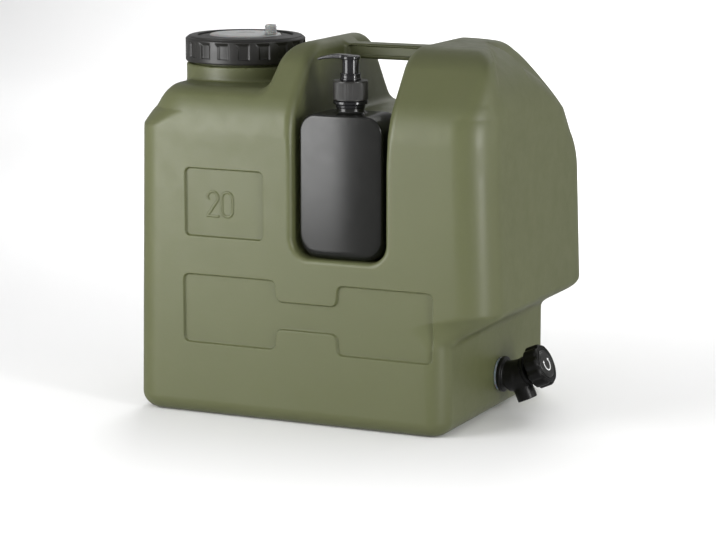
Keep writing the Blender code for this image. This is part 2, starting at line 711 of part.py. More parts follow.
def make_cap_centre():
    """What the ring holds down on the neck: gasket, pale disc and its pouring nozzle."""
    seal_radius = NECK_RADIUS - SEAT_GAP
    gasket = new_object("cap_gasket", turned(tube_profile(
        NECK_BORE_RADIUS, seal_radius, GASKET_Z, GASKET_Z + GASKET_THICKNESS), NECK_SEGMENTS),
        RUBBER, 0.7)
    gasket.location = (NECK_X, NECK_Y, 0)
    raised = CAP_OPENING_RADIUS - RUN_GAP
    flange_top = DISC_Z + DISC_FLANGE
    disc = new_object("cap_insert_disc", turned([
        (0, DISC_Z), (seal_radius, DISC_Z), (seal_radius, flange_top), (raised, flange_top),
        (raised, DISC_TOP_Z), (0, DISC_TOP_Z),
    ], NECK_SEGMENTS), PALE, 0.4)
    disc.location = (NECK_X, NECK_Y, 0)
    hole = cutter("nozzle_hole", turned([
        (0, DISC_Z - OVERSHOOT), (NOZZLE_RADIUS + SEAT_GAP, DISC_Z - OVERSHOOT),
        (NOZZLE_RADIUS + SEAT_GAP, CAP_TOP_Z), (0, CAP_TOP_Z),
    ], SMALL_SEGMENTS))
    hole.location = (NECK_X + NOZZLE_OFFSET, NECK_Y, 0)
    combine(disc, hole, "DIFFERENCE")
    washer_low = DISC_Z - SEAT_GAP - NOZZLE_WASHER
    washer = new_object("nozzle_washer", turned(tube_profile(
        NOZZLE_RADIUS + SEAT_GAP, NOZZLE_FLANGE_RADIUS, washer_low, washer_low + NOZZLE_WASHER),
        SMALL_SEGMENTS), RUBBER, 0.7)
    washer.location = hole.location
    flange_high = washer_low - SEAT_GAP
    tip = DISC_TOP_Z + NOZZLE_RISE
    outline = [
        (NOZZLE_BORE_RADIUS, flange_high - NOZZLE_FLANGE),
        (NOZZLE_FLANGE_RADIUS, flange_high - NOZZLE_FLANGE),
        (NOZZLE_FLANGE_RADIUS, flange_high), (NOZZLE_RADIUS, flange_high),
    ]
    spacing = NOZZLE_RISE / (NOZZLE_RIBS + 1)
    for rib in range(NOZZLE_RIBS):
        middle = DISC_TOP_Z + (rib + 1) * spacing
        outline += [
            (NOZZLE_RADIUS - NOZZLE_RIB, middle - NOZZLE_RIB), (NOZZLE_RADIUS, middle),
            (NOZZLE_RADIUS - NOZZLE_RIB, middle + NOZZLE_RIB),
        ]
    outline += [(NOZZLE_RADIUS - NOZZLE_RIB, tip), (NOZZLE_BORE_RADIUS, tip)]
    nozzle = new_object("pour_nozzle", turned(outline, SMALL_SEGMENTS), PALE, 0.35)
    nozzle.location = hole.location
    return gasket, disc, washer, nozzle


# Tap

TAP_AXIS = (math.cos(TAP_TILT), 0, math.sin(TAP_TILT))
SPOUT_AXIS = (math.sin(TAP_TILT), 0, -math.cos(TAP_TILT))
TAP_CENTRE = (TANK_RIGHT + TAP_REACH, TAP_Y, TAP_Z + TAP_RISE)
OUTER_WASHER_X = TANK_RIGHT + SEAT_GAP
FLANGE_X = OUTER_WASHER_X + WASHER_THICKNESS + SEAT_GAP
INNER_WASHER_X = TANK_RIGHT - TANK_WALL - SEAT_GAP - WASHER_THICKNESS
LOCK_NUT_X = INNER_WASHER_X - SEAT_GAP - LOCK_NUT_THICKNESS
TAIL_X = TANK_RIGHT - TANK_WALL - TAIL_LENGTH
BONNET_Z = BARREL_OUTER_END + SEAT_GAP
SEAL_Z = VALVE_SEAT + SEAT_GAP
STEM_Z = SEAL_Z + SEAL_THICKNESS + SEAT_GAP
KNOB_LOW = KNOB_FACE - KNOB_THICKNESS
COVER_SEAT = KNOB_FACE - KNOB_COVER_RECESS
SCREW_SEAT = COVER_SEAT - SEAT_GAP - KNOB_SCREW_HEAD
STEM_TOP = KNOB_FACE - KNOB_WEB - KNOB_SCREW_HEAD


def solid_profile(radius, low, high):
    """Outline of a plain round bar."""
    return [(0, low), (radius, low), (radius, high), (0, high)]


def make_tap_body():
    """Valve body: flange and tail through the wall, leaning barrel and spout, all hollow."""
    tap = new_object("tap_body", turned([
        (0, TAIL_X), (TAIL_RADIUS, TAIL_X), (TAIL_RADIUS, FLANGE_X), (FLANGE_RADIUS, FLANGE_X),
        (FLANGE_RADIUS, FLANGE_X + FLANGE_THICKNESS), (TAIL_RADIUS, FLANGE_X + FLANGE_THICKNESS),
        (TAIL_RADIUS, TAP_CENTRE[0]), (0, TAP_CENTRE[0]),
    ], ROUND_SEGMENTS), BLACK, 0.35)
    aim(tap, (0, TAP_Y, TAP_Z), (1, 0, 0))
    shapes = (
        ("barrel", solid_profile(BARREL_RADIUS, BARREL_INNER_END, BARREL_OUTER_END),
         TAP_AXIS, "UNION"),
        ("spout", solid_profile(SPOUT_RADIUS, 0, SPOUT_LENGTH), SPOUT_AXIS, "UNION"),
        ("barrel_bore", solid_profile(BARREL_BORE_RADIUS, VALVE_SEAT,
                                      BARREL_OUTER_END + OVERSHOOT), TAP_AXIS, "DIFFERENCE"),
        ("valve_port", solid_profile(VALVE_PORT_RADIUS, 2 * VALVE_SEAT, VALVE_SEAT / 2),
         TAP_AXIS, "DIFFERENCE"),
        ("spout_bore", solid_profile(SPOUT_BORE_RADIUS, 0, SPOUT_LENGTH + OVERSHOOT),
         SPOUT_AXIS, "DIFFERENCE"),
    )
    for name, outline, axis, operation in shapes:
        tool = cutter(name, turned(outline, ROUND_SEGMENTS))
        aim(tool, TAP_CENTRE, axis)
        combine(tap, tool, operation)
    tail_end = TAP_CENTRE[0] + 2 * VALVE_SEAT * math.cos(TAP_TILT)
    tail_bore = cutter("tail_bore", turned(
        solid_profile(TAIL_BORE_RADIUS, TAIL_X - OVERSHOOT, tail_end + SEAT_GAP), ROUND_SEGMENTS))
    aim(tail_bore, (0, TAP_Y, TAP_Z), (1, 0, 0))
    combine(tap, tail_bore, "DIFFERENCE")
    return tap


def make_tap_mounting():
    """Washers on both sides of the tank's wall, and the nut that pulls them tight."""
    hole = TAIL_RADIUS + SEAT_GAP
    outer = new_object("tap_outer_washer", turned(tube_profile(
        hole, WASHER_RADIUS, OUTER_WASHER_X, OUTER_WASHER_X + WASHER_THICKNESS), ROUND_SEGMENTS),
        PALE, 0.3)
    inner = new_object("tap_inner_washer", turned(tube_profile(
        hole, WASHER_RADIUS - SMALL_EDGE, INNER_WASHER_X, INNER_WASHER_X + WASHER_THICKNESS),
        ROUND_SEGMENTS), RUBBER, 0.7)
    nut = new_object("tap_lock_nut", loft([
        [Vector((LOCK_NUT_RADIUS * math.cos(a), LOCK_NUT_RADIUS * math.sin(a), x))
         for a in np.linspace(0, 2 * math.pi, 6, endpoint=False)]
        for x in (LOCK_NUT_X, LOCK_NUT_X + LOCK_NUT_THICKNESS)
    ]), BLACK, 0.4, smooth=False)
    bore = cutter("lock_nut_bore", turned(solid_profile(
        hole, LOCK_NUT_X - OVERSHOOT, LOCK_NUT_X + LOCK_NUT_THICKNESS + OVERSHOOT),
        ROUND_SEGMENTS))
    for piece in (outer, inner, nut, bore):
        aim(piece, (0, TAP_Y, TAP_Z), (1, 0, 0))
    combine(nut, bore, "DIFFERENCE")


def make_spindle():
    """What turns with the knob, and the seal that it pushes onto the seat."""
    seal = new_object("valve_seal", turned(solid_profile(
        SEAL_RADIUS, SEAL_Z, SEAL_Z + SEAL_THICKNESS), ROUND_SEGMENTS), RUBBER, 0.7)
    screw_hole = KNOB_SCREW_RADIUS + SEAT_GAP
    stem = new_object("valve_stem", turned([
        (0, STEM_Z), (STEM_HEAD_RADIUS, STEM_Z), (STEM_HEAD_RADIUS, STEM_Z + STEM_HEAD),
        (STEM_RADIUS, STEM_Z + STEM_HEAD), (STEM_RADIUS, STEM_TOP), (screw_hole, STEM_TOP),
        (screw_hole, SCREW_SEAT - KNOB_SCREW_LENGTH - SEAT_GAP),
        (0, SCREW_SEAT - KNOB_SCREW_LENGTH - SEAT_GAP),
    ], SMALL_SEGMENTS), BLACK, 0.4)
    hole = STEM_RADIUS + SEAT_GAP
    pocket = hole + O_RING_WIDTH + SEAT_GAP
    plug_low = BONNET_Z - BONNET_PLUG
    ring_low = plug_low + SEAT_GAP
    bonnet = new_object("tap_bonnet", turned([
        (pocket, plug_low), (BARREL_BORE_RADIUS - SEAT_GAP, plug_low),
        (BARREL_BORE_RADIUS - SEAT_GAP, BONNET_Z), (BONNET_RADIUS, BONNET_Z),
        (BONNET_RADIUS, BONNET_Z + BONNET_CAP), (hole, BONNET_Z + BONNET_CAP),
        (hole, ring_low + O_RING_WIDTH + SEAT_GAP), (pocket, ring_low + O_RING_WIDTH + SEAT_GAP),
    ], ROUND_SEGMENTS), BLACK, 0.4)
    o_ring = new_object("stem_o_ring", turned([
        (hole + (O_RING_WIDTH / 2) * (1 + math.cos(a)),
         ring_low + (O_RING_WIDTH / 2) * (1 + math.sin(a)))
        for a in np.linspace(0, 2 * math.pi, 8, endpoint=False)
    ], SMALL_SEGMENTS), RUBBER, 0.6)
    web_low = KNOB_FACE - KNOB_WEB
    skin = [
        wavy_ring(radius, KNOB_SCALLOP, KNOB_LOBES, 0.5, 4, z) for radius, z in (
            (KNOB_RADIUS - SMALL_EDGE, KNOB_LOW), (KNOB_RADIUS, KNOB_LOW + SMALL_EDGE),
            (KNOB_RADIUS, KNOB_FACE - KNOB_EDGE), (KNOB_RADIUS - KNOB_EDGE, KNOB_FACE))
    ]
    knob = new_object("tap_knob", loft(skin), BLACK, 0.38)
    recess = KNOB_COVER_RADIUS + SEAT_GAP
    cavity = cutter("knob_cavity", turned([
        (KNOB_BOSS_RADIUS, KNOB_LOW - OVERSHOOT),
        (KNOB_RADIUS - KNOB_SCALLOP - KNOB_WALL, KNOB_LOW - OVERSHOOT),
        (KNOB_RADIUS - KNOB_SCALLOP - KNOB_WALL, web_low), (KNOB_BOSS_RADIUS, web_low),
    ], ROUND_SEGMENTS))
    bore = cutter("knob_bore", turned([
        (0, KNOB_LOW - OVERSHOOT), (hole, KNOB_LOW - OVERSHOOT), (hole, STEM_TOP + SEAT_GAP),
        (screw_hole, STEM_TOP + SEAT_GAP), (screw_hole, SCREW_SEAT - SEAT_GAP),
        (KNOB_SCREW_HEAD_RADIUS + SEAT_GAP, SCREW_SEAT - SEAT_GAP),
        (KNOB_SCREW_HEAD_RADIUS + SEAT_GAP, COVER_SEAT), (recess, COVER_SEAT),
        (recess, KNOB_FACE + OVERSHOOT), (0, KNOB_FACE + OVERSHOOT),
    ], ROUND_SEGMENTS))
    screw = new_object("knob_screw", turned([
        (0, SCREW_SEAT - KNOB_SCREW_LENGTH), (KNOB_SCREW_RADIUS, SCREW_SEAT - KNOB_SCREW_LENGTH),
        (KNOB_SCREW_RADIUS, SCREW_SEAT), (KNOB_SCREW_HEAD_RADIUS, SCREW_SEAT),
        (KNOB_SCREW_HEAD_RADIUS, SCREW_SEAT + KNOB_SCREW_HEAD),
        (0, SCREW_SEAT + KNOB_SCREW_HEAD),
    ], SMALL_SEGMENTS), STEEL, 0.35, 1.0)
    cover_low = COVER_SEAT + SEAT_GAP
    cover = new_object("knob_cover", turned([
        (0, cover_low), (KNOB_COVER_RADIUS, cover_low),
        (KNOB_COVER_RADIUS, cover_low + KNOB_COVER / 2),
        (KNOB_COVER_RADIUS - KNOB_COVER / 2, cover_low + KNOB_COVER),
        (0, cover_low + KNOB_COVER),
    ], ROUND_SEGMENTS), GREY, 0.4)
    for piece in (seal, stem, bonnet, o_ring, knob, cavity, bore, screw, cover):
        aim(piece, TAP_CENTRE, TAP_AXIS)
    combine(knob, cavity, "DIFFERENCE")
    combine(knob, bore, "DIFFERENCE")


# Soap bottle and pump

BOTTLE_Y = BOTTLE_FRONT + BOTTLE_DEPTH / 2
BOTTLE_LOW_Z = POCKET_FLOOR_Z + SEAT_GAP
BOTTLE_TOP_Z = BOTTLE_LOW_Z + BOTTLE_HEIGHT
BOTTLE_NECK_TOP = BOTTLE_TOP_Z + BOTTLE_NECK_HEIGHT
PUMP_GASKET_Z = BOTTLE_NECK_TOP + SEAT_GAP
HOUSING_FLANGE_Z = PUMP_GASKET_Z + PUMP_GASKET + SEAT_GAP
HOUSING_TOP = HOUSING_FLANGE_Z + HOUSING_FLANGE
HOUSING_STEP = HOUSING_TOP - HOUSING_WIDE_DEPTH
HOUSING_FLOOR = HOUSING_STEP - HOUSING_LENGTH
HOUSING_WALL = HOUSING_RADIUS - HOUSING_BORE
BALL_CAGE = 3 * BALL_RADIUS
SOCKET_BORE = DIP_TUBE_RADIUS + SEAT_GAP
SOCKET_TOP = HOUSING_FLOOR - HOUSING_WALL
COLLAR_CEILING = HOUSING_TOP + SEAT_GAP
COLLAR_HIGH = COLLAR_CEILING + COLLAR_TOP
COLLAR_LOW = COLLAR_HIGH - COLLAR_HEIGHT
BOTTLE_THREAD_Z = COLLAR_LOW + BOTTLE_PITCH / 2
COLLAR_BORE = BOTTLE_NECK_RADIUS + BOTTLE_THREAD_DEPTH + CAP_WALL_GAP
CHAPLET_RING_Z = COLLAR_HIGH + SEAT_GAP
CHAPLET_TOP = CHAPLET_RING_Z + CHAPLET_RING_HEIGHT
CHAPLET_LOW = HOUSING_STEP + SEAT_GAP
SHROUD_LOW = CHAPLET_TOP - SHROUD_ENTRY
HEAD_LOW = CHAPLET_TOP + PUMP_STROKE + HEAD_REST_GAP
HEAD_TOP = HEAD_LOW + HEAD_HEIGHT
SPRING_SEAT = HEAD_LOW - HEAD_REST_GAP
PUMP_STEM_TOP = HEAD_LOW + HEAD_HEIGHT / 3
PISTON_TOP = CHAPLET_LOW - 3 * MM
PISTON_LOW = PISTON_TOP - PISTON_HEIGHT


def bottle_block(inset):
    """The bottle's rounded body; an inset makes the hollow inside it."""
    half_width = BOTTLE_WIDTH / 2
    half_depth = BOTTLE_DEPTH / 2
    bends = [BOTTLE_FACE_CORNER * (1 - math.cos(a)) for a in np.linspace(0, math.pi / 2, 5)]
    levels = bends + [BOTTLE_HEIGHT - bend for bend in reversed(bends)]
    rings = []
    for level in levels:
        near = min(level, BOTTLE_HEIGHT - level)
        side = fillet_inset(near, BOTTLE_FACE_CORNER) + inset
        face = fillet_inset(near, BOTTLE_EDGE) + inset
        z = BOTTLE_LOW_Z + min(max(level, inset), BOTTLE_HEIGHT - inset)
        if rings and z - rings[-1][0].z < 0.1 * MM:
            continue
        outline = rounded_outline(-half_width + side, half_width - side, -half_depth + face,
                                  half_depth - face, [BOTTLE_CORNER - inset] * 4, CORNER_STEPS)
        rings.append([Vector((x, y, z)) for x, y in outline])
    return loft(rings)


def place_pump(*pieces):
    """Stand pieces on the bottle's axis."""
    for piece in pieces:
        piece.location = (BOTTLE_X, BOTTLE_Y, 0)


def make_bottle():
    """Hollow soap bottle with a threaded neck above a ring."""
    bottle = new_object("soap_bottle", bottle_block(0), GREY, 0.5)
    ring_low = BOTTLE_TOP_Z + NECK_RING_BASE
    sunk = BOTTLE_TOP_Z - BOTTLE_WALL / 2
    neck = cutter("bottle_neck", turned([
        (0, sunk), (BOTTLE_NECK_RADIUS, sunk), (BOTTLE_NECK_RADIUS, ring_low),
        (NECK_RING_RADIUS, ring_low), (NECK_RING_RADIUS, ring_low + NECK_RING_HEIGHT),
        (BOTTLE_NECK_RADIUS, ring_low + NECK_RING_HEIGHT), (BOTTLE_NECK_RADIUS, BOTTLE_NECK_TOP),
        (0, BOTTLE_NECK_TOP),
    ], ROUND_SEGMENTS))
    thread = cutter("bottle_thread", thread_ridge(
        BOTTLE_NECK_RADIUS, BOTTLE_THREAD_DEPTH, BOTTLE_PITCH, BOTTLE_THREAD_TURNS,
        BOTTLE_THREAD_Z, False, ROUND_SEGMENTS))
    hollow = cutter("bottle_hollow", bottle_block(BOTTLE_WALL))
    bore = cutter("bottle_bore", turned(solid_profile(
        BOTTLE_NECK_BORE, BOTTLE_TOP_Z - 2 * BOTTLE_WALL, BOTTLE_NECK_TOP + OVERSHOOT),
        ROUND_SEGMENTS))
    place_pump(bottle, neck, thread, hollow, bore)
    combine(bottle, neck, "UNION")
    combine(bottle, thread, "UNION")
    combine(hollow, bore, "UNION")
    combine(bottle, hollow, "DIFFERENCE")


def make_collar():
    """The ribbed screw collar that holds the pump on the bottle."""
    collar = new_object("pump_collar", loft([
        wavy_ring(COLLAR_RADIUS - inset, COLLAR_RIB, COLLAR_RIBS, 0.5, 2, z)
        for inset, z in ((0, COLLAR_LOW), (0, COLLAR_HIGH - SMALL_EDGE),
                         (SMALL_EDGE, COLLAR_HIGH))
    ]), BLACK, 0.3)
    collar_bore = cutter("collar_bore", turned([
        (0, COLLAR_LOW - OVERSHOOT), (COLLAR_BORE, COLLAR_LOW - OVERSHOOT),
        (COLLAR_BORE, COLLAR_CEILING), (CHAPLET_RADIUS + SEAT_GAP, COLLAR_CEILING),
        (CHAPLET_RADIUS + SEAT_GAP, COLLAR_HIGH + OVERSHOOT), (0, COLLAR_HIGH + OVERSHOOT),
    ], ROUND_SEGMENTS))
    collar_thread = cutter("collar_thread", thread_ridge(
        COLLAR_BORE, BOTTLE_THREAD_DEPTH, BOTTLE_PITCH, BOTTLE_THREAD_TURNS - 0.25,
        BOTTLE_THREAD_Z + BOTTLE_PITCH / 2, True, ROUND_SEGMENTS))
    place_pump(collar, collar_bore, collar_thread)
    combine(collar, collar_bore, "DIFFERENCE")
    combine(collar, collar_thread, "UNION")


def make_pump_body():
    """Fixed pieces of the pump: gasket, housing with ball and dip tube, and chaplet."""
    gasket = new_object("pump_gasket", turned(tube_profile(
        HOUSING_WIDE_RADIUS + SEAT_GAP, HOUSING_FLANGE_RADIUS, PUMP_GASKET_Z,
        PUMP_GASKET_Z + PUMP_GASKET), ROUND_SEGMENTS), PALE, 0.5)
    cage = BALL_RADIUS + RUN_GAP
    housing = new_object("pump_housing", turned([
        (HOUSING_WIDE_BORE, HOUSING_TOP), (HOUSING_WIDE_BORE, HOUSING_STEP),
        (HOUSING_BORE, HOUSING_STEP), (HOUSING_BORE, HOUSING_FLOOR + BALL_CAGE),
        (cage, HOUSING_FLOOR + BALL_CAGE), (cage, HOUSING_FLOOR),
        (BALL_PORT_RADIUS, HOUSING_FLOOR), (BALL_PORT_RADIUS, SOCKET_TOP),
        (SOCKET_BORE, SOCKET_TOP), (SOCKET_BORE, SOCKET_TOP - SOCKET_LENGTH),
        (SOCKET_BORE + HOUSING_WALL, SOCKET_TOP - SOCKET_LENGTH),
        (SOCKET_BORE + HOUSING_WALL, HOUSING_FLOOR), (HOUSING_RADIUS, HOUSING_FLOOR + BALL_CAGE),
        (HOUSING_RADIUS, HOUSING_STEP - HOUSING_WALL),
        (HOUSING_WIDE_RADIUS, HOUSING_STEP - HOUSING_WALL),
        (HOUSING_WIDE_RADIUS, HOUSING_FLANGE_Z), (HOUSING_FLANGE_RADIUS, HOUSING_FLANGE_Z),
        (HOUSING_FLANGE_RADIUS, HOUSING_TOP),
    ], SMALL_SEGMENTS), PALE, 0.4)
    chaplet_hole = PUMP_STEM_RADIUS + SEAT_GAP
    chaplet = new_object("pump_chaplet", turned([
        (chaplet_hole, CHAPLET_LOW), (CHAPLET_RADIUS, CHAPLET_LOW),
        (CHAPLET_RADIUS, CHAPLET_RING_Z), (CHAPLET_RING_RADIUS, CHAPLET_RING_Z),
        (CHAPLET_RING_RADIUS, CHAPLET_TOP - SMALL_EDGE),
        (CHAPLET_RING_RADIUS - SMALL_EDGE, CHAPLET_TOP),
        (CHAPLET_BORE, CHAPLET_TOP), (CHAPLET_BORE, CHAPLET_LOW + CHAPLET_FLOOR),
        (chaplet_hole, CHAPLET_LOW + CHAPLET_FLOOR),
    ], ROUND_SEGMENTS), BLACK, 0.25)
    ball = bmesh.new()
    bmesh.ops.create_uvsphere(ball, u_segments=12, v_segments=8, radius=BALL_RADIUS)
    ball = new_object("pump_ball", ball, STEEL, 0.2, 1.0)
    tube_foot = BOTTLE_LOW_Z + BOTTLE_WALL + DIP_TUBE_FOOT_GAP
    dip_tube = new_object("dip_tube", turned(tube_profile(
        DIP_TUBE_BORE, DIP_TUBE_RADIUS, tube_foot, SOCKET_TOP - SEAT_GAP), SMALL_SEGMENTS),
        PALE, 0.4)
    place_pump(gasket, housing, chaplet, ball, dip_tube)
    seat_height = math.sqrt(BALL_RADIUS ** 2 - BALL_PORT_RADIUS ** 2)
    ball.location.z = HOUSING_FLOOR + seat_height + SEAT_GAP


def spring_coil(low, high):
    """A helical wire from seat to seat, its ends cut flat by their closeness."""
    points_per_turn = 10
    count = SPRING_TURNS * points_per_turn
    curve = bpy.data.curves.new("pump_spring_path", "CURVE")
    curve.dimensions = "3D"
    curve.bevel_depth = SPRING_WIRE / 2
    curve.bevel_resolution = 0
    curve.use_fill_caps = True
    spline = curve.splines.new("POLY")
    spline.points.add(count)
    for step, point in enumerate(spline.points):
        angle = 2 * math.pi * step / points_per_turn
        height = low + (high - low) * step / count
        point.co = (SPRING_RADIUS * math.cos(angle), SPRING_RADIUS * math.sin(angle), height, 1)
    curve.materials.append(make_material("pump_spring", STEEL, 0.3, 1.0))
    spring = bpy.data.objects.new("pump_spring", curve)
    bpy.context.scene.collection.objects.link(spring)
    return spring


def make_plunger():
    """What the hand presses down: head with its beak, hollow stem, piston and spring."""
    stem = new_object("pump_stem", turned(tube_profile(
        PUMP_STEM_BORE, PUMP_STEM_RADIUS, PISTON_LOW - SMALL_EDGE, PUMP_STEM_TOP), SMALL_SEGMENTS),
        PALE, 0.4)
    piston = new_object("pump_piston", turned([
        (PUMP_STEM_RADIUS + SEAT_GAP, PISTON_LOW), (HOUSING_BORE - SEAT_GAP, PISTON_LOW),
        (HOUSING_BORE - SEAT_GAP, PISTON_LOW + PISTON_HEIGHT / 4),
        (HOUSING_BORE - 4 * SEAT_GAP, PISTON_LOW + PISTON_HEIGHT / 2),
        (HOUSING_BORE - SEAT_GAP, PISTON_TOP), (PUMP_STEM_RADIUS + SEAT_GAP, PISTON_TOP),
    ], SMALL_SEGMENTS), PALE, 0.5)
    socket = PUMP_STEM_RADIUS + SEAT_GAP
    head = new_object("pump_head", turned([
        (SHROUD_BORE, SHROUD_LOW), (SHROUD_RADIUS, SHROUD_LOW), (SHROUD_RADIUS, HEAD_LOW),
        (HEAD_RADIUS, HEAD_LOW + SMALL_EDGE), (HEAD_RADIUS, HEAD_TOP - HEAD_EDGE),
        (HEAD_RADIUS - HEAD_EDGE, HEAD_TOP - HEAD_EDGE / 4), (0, HEAD_TOP),
        (0, PUMP_STEM_TOP + SEAT_GAP), (socket, PUMP_STEM_TOP + SEAT_GAP),
        (socket, SPRING_SEAT), (SHROUD_BORE, SPRING_SEAT),
    ], ROUND_SEGMENTS), BLACK, 0.2)
    beak = cutter("pump_beak", beak_block())
    beak.rotation_euler = (0, 0, BEAK_TURN)
    coil_margin = SEAT_GAP + SPRING_WIRE / 2
    spring = spring_coil(CHAPLET_LOW + CHAPLET_FLOOR + coil_margin, SPRING_SEAT - coil_margin)
    place_pump(stem, piston, head, beak, spring)
    combine(head, beak, "UNION")


def beak_block():
    """The spout of the pump's head: it tapers outward and droops a little at its tip."""
    stations = (
        (0.16, 6.0 * MM, HEAD_TOP - 2.7 * MM, HEAD_TOP - 0.8 * MM),
        (0.55, 4.8 * MM, HEAD_TOP - 3.0 * MM, HEAD_TOP - 0.2 * MM),
        (0.85, 3.8 * MM, HEAD_TOP - 4.3 * MM, HEAD_TOP - 1.4 * MM),
        (1.0, 3.2 * MM, HEAD_TOP - 5.0 * MM, HEAD_TOP - 2.6 * MM),
    )
    rings = []
    for share, half_width, low, high in stations:
        x = -share * BEAK_LENGTH
        cut = min(half_width, high - low) / 3
        rings.append([
            Vector((x, y, z)) for y, z in (
                (half_width - cut, low), (half_width, low + cut), (half_width, high - cut),
                (half_width - cut, high), (cut - half_width, high), (-half_width, high - cut),
                (-half_width, low + cut), (cut - half_width, low))
        ])
    return loft(rings)


def clear_scene():
    """Start from an empty scene."""
    for old in list(bpy.data.objects):
        bpy.data.objects.remove(old, do_unlink=True)


def main():
    """Build every piece of the container."""
    clear_scene()
    make_tank()
    make_cap_ring()
    make_cap_centre()
    make_tap_body()
    make_tap_mounting()
    make_spindle()
    make_bottle()
    make_collar()
    make_pump_body()
    make_plunger()


main()
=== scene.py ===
"""Water container with a screw cap, a tap and a soap pump bottle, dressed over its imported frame.

Shapes are worked out in millimetres and placed in metres. +X points to the tap's end, -Y to the
front and +Z up, with the origin in the middle of the tank's base.
"""
import math

import bmesh
import bpy
import numpy as np
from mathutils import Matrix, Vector


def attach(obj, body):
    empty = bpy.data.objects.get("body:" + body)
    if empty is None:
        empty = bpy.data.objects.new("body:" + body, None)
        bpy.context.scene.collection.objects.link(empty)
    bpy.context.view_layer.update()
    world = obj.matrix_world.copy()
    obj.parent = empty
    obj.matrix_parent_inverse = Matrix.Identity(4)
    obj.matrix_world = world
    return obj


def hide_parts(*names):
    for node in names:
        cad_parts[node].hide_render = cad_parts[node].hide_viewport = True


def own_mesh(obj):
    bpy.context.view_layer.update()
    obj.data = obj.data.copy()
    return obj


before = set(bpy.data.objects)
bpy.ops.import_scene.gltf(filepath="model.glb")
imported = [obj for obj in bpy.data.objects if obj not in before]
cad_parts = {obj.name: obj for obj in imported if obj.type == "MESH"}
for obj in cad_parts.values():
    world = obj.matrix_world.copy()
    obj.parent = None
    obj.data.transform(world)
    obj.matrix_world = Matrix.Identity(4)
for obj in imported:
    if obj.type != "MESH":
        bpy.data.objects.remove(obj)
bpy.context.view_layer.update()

MM = 0.001
DEG = math.pi / 180
UP = (0.0, 0.0, 1.0)

# Tank sizes
HALF_DEPTH = 124.0
LEFT, LEFT_DRAFT = -155.2, 0.019
RIGHT = 154.0
HEIGHT = 337.0
BASE_FILLET = 15.0
LEFT_RADIUS, LOW_RIGHT_RADIUS, HIGH_RIGHT_RADIUS = 26.5, 19.0, 33.0
OVERHANG, OVERHANG_START, OVERHANG_RISE, OVERHANG_DRAFT = 42.0, 78.0, 34.0, 0.035
# Shoulders: height where the bend starts, its radius, and the slope above it
FRONT_SHOULDER = (256.3, 60.0, 38 * DEG)
BACK_SHOULDER = (212.8, 60.0, 35.5 * DEG)
# Upright corners: height where the radius starts to change, rate, and most change
FRONT_LEFT_CHANGE = (262, 1.75, 24.5)
BACK_LEFT_CHANGE = (232, 0.9, 30)
BACK_RIGHT_CHANGE = (272, 0.9, 50)
FRONT_RIGHT_CHANGE = (280, -0.4, 20)
# Edges that grow towards the tank's ends: radius, and what the ends add to it
CORNER_BLEND = 40
PLATEAU_EDGE, TOP_EDGE = (8.0, 20.0), (18.0, 42.0)
PLATEAU_END, TOP_END = (60, 60), (90, 30)
PLATEAU, PLATEAU_CORNER = 297.5, 7.0
TOWER_LEFT, TOWER_DRAFT = -27.0, 0.16
POCKET_LEFT, POCKET_RIGHT, POCKET_SIDE = 7.0, 97.5, 1.0
POCKET_BACK, POCKET_FLOOR, POCKET_CORNER = -70.0, 151.5, 17.0
POCKET_BLEND, POCKET_EDGE, POCKET_EDGE_RISE = 8.0, (4.0, 5.0), (230, 60)
SADDLE, SADDLE_ROUND, SADDLE_SLOPE = 268.0, 22.0, 0.012
HANDLE_LOW, HANDLE_HIGH, HANDLE_HALF = 317.7, 331.2, 12.0
HANDLE_REACH, HANDLE_CHAMFER, HANDLE_BLEND = 50, 3.0, 5.0
HOLLOW_HALF, HOLLOW_MIDDLE, HOLLOW_RISE, HOLLOW_DEPTH = 41.0, 324.9, 3.7, 2.0
HOLLOW_LEAN, HOLLOW_CORNER, HOLLOW_EDGE = 0.3, 0.8, 0.3
# Panels on the front: left, right, foot and top
SMALL_PANEL, SMALL_CORNER = (-98.5, -21.3, 164.6, 225.7), 4.5
LONG_PANEL, LONG_CORNER = (-101.0, 142.5, 67.2, 129.5), 6.0
LONG_WAIST, LONG_SLANT = (-8.4, 50.3, 86.0, 110.7), 1.2
PANEL_DEPTH, PANEL_RAMP = 2.6, 1.5
ZERO, TWO, DIGIT_HALF, DIGIT_ROUND = -57.3, -71.8, 11.0, 5.3
BOW_END, BOW_START = -0.6, -3.0
DIGIT_MIDDLE, STROKE_HALF, STROKE_RISE = 194.3, 1.0, 0.9
STROKE_SPREAD, STROKE_RAMP = 0.4, 0.9
# Skin of the tank: coarse step, and reach and cuts of the finer mesh along its relief
SKIN_STEP, FINE_REACH, FINE_CUTS, HANDLE_FINE = 2.5, 3.2, 4, 3.0
FINE_FRONT, RELIEF_FRONT, FINE_CENTRE = -105, -100, 52

# Neck and cap sizes
NECK = (-90.0, -20.0)
COLLAR_RADIUS, COLLAR_TOP, COLLAR_DROP = 54.0, 311.0, 16
COLLAR_EDGE, COLLAR_BLEND = 1.5, 2.5
NECK_RADIUS, NECK_BORE, NECK_TOP = 48.4, 44.4, 327.7
NECK_THREAD, THREAD_DEPTH, CAP_PITCH, CAP_TURNS = 316.2, 1.5, 6.0, 1.5
CAP_RADIUS, CAP_LOW, CAP_TOP = 55.0, 312.8, 336.2
CAP_INNER, DECK_LOW = 50.5, 332.6
FLUTES, FLUTE_LOW, FLUTE_HIGH, FLUTE_DEPTH = 18, 317.5, 333.0, 1.5
FLUTE_START, FLUTE_SHARE, FLUTE_LEAN = 10.0, 0.55, 3.5
DISC_LOW, DISC_TOP = 330.3, 335.6
OPENING_RADIUS, RIM_RADIUS, RIM_FLOOR = 33.4, 43.8, 334.3
NOZZLE = (-64.1, -20.0)
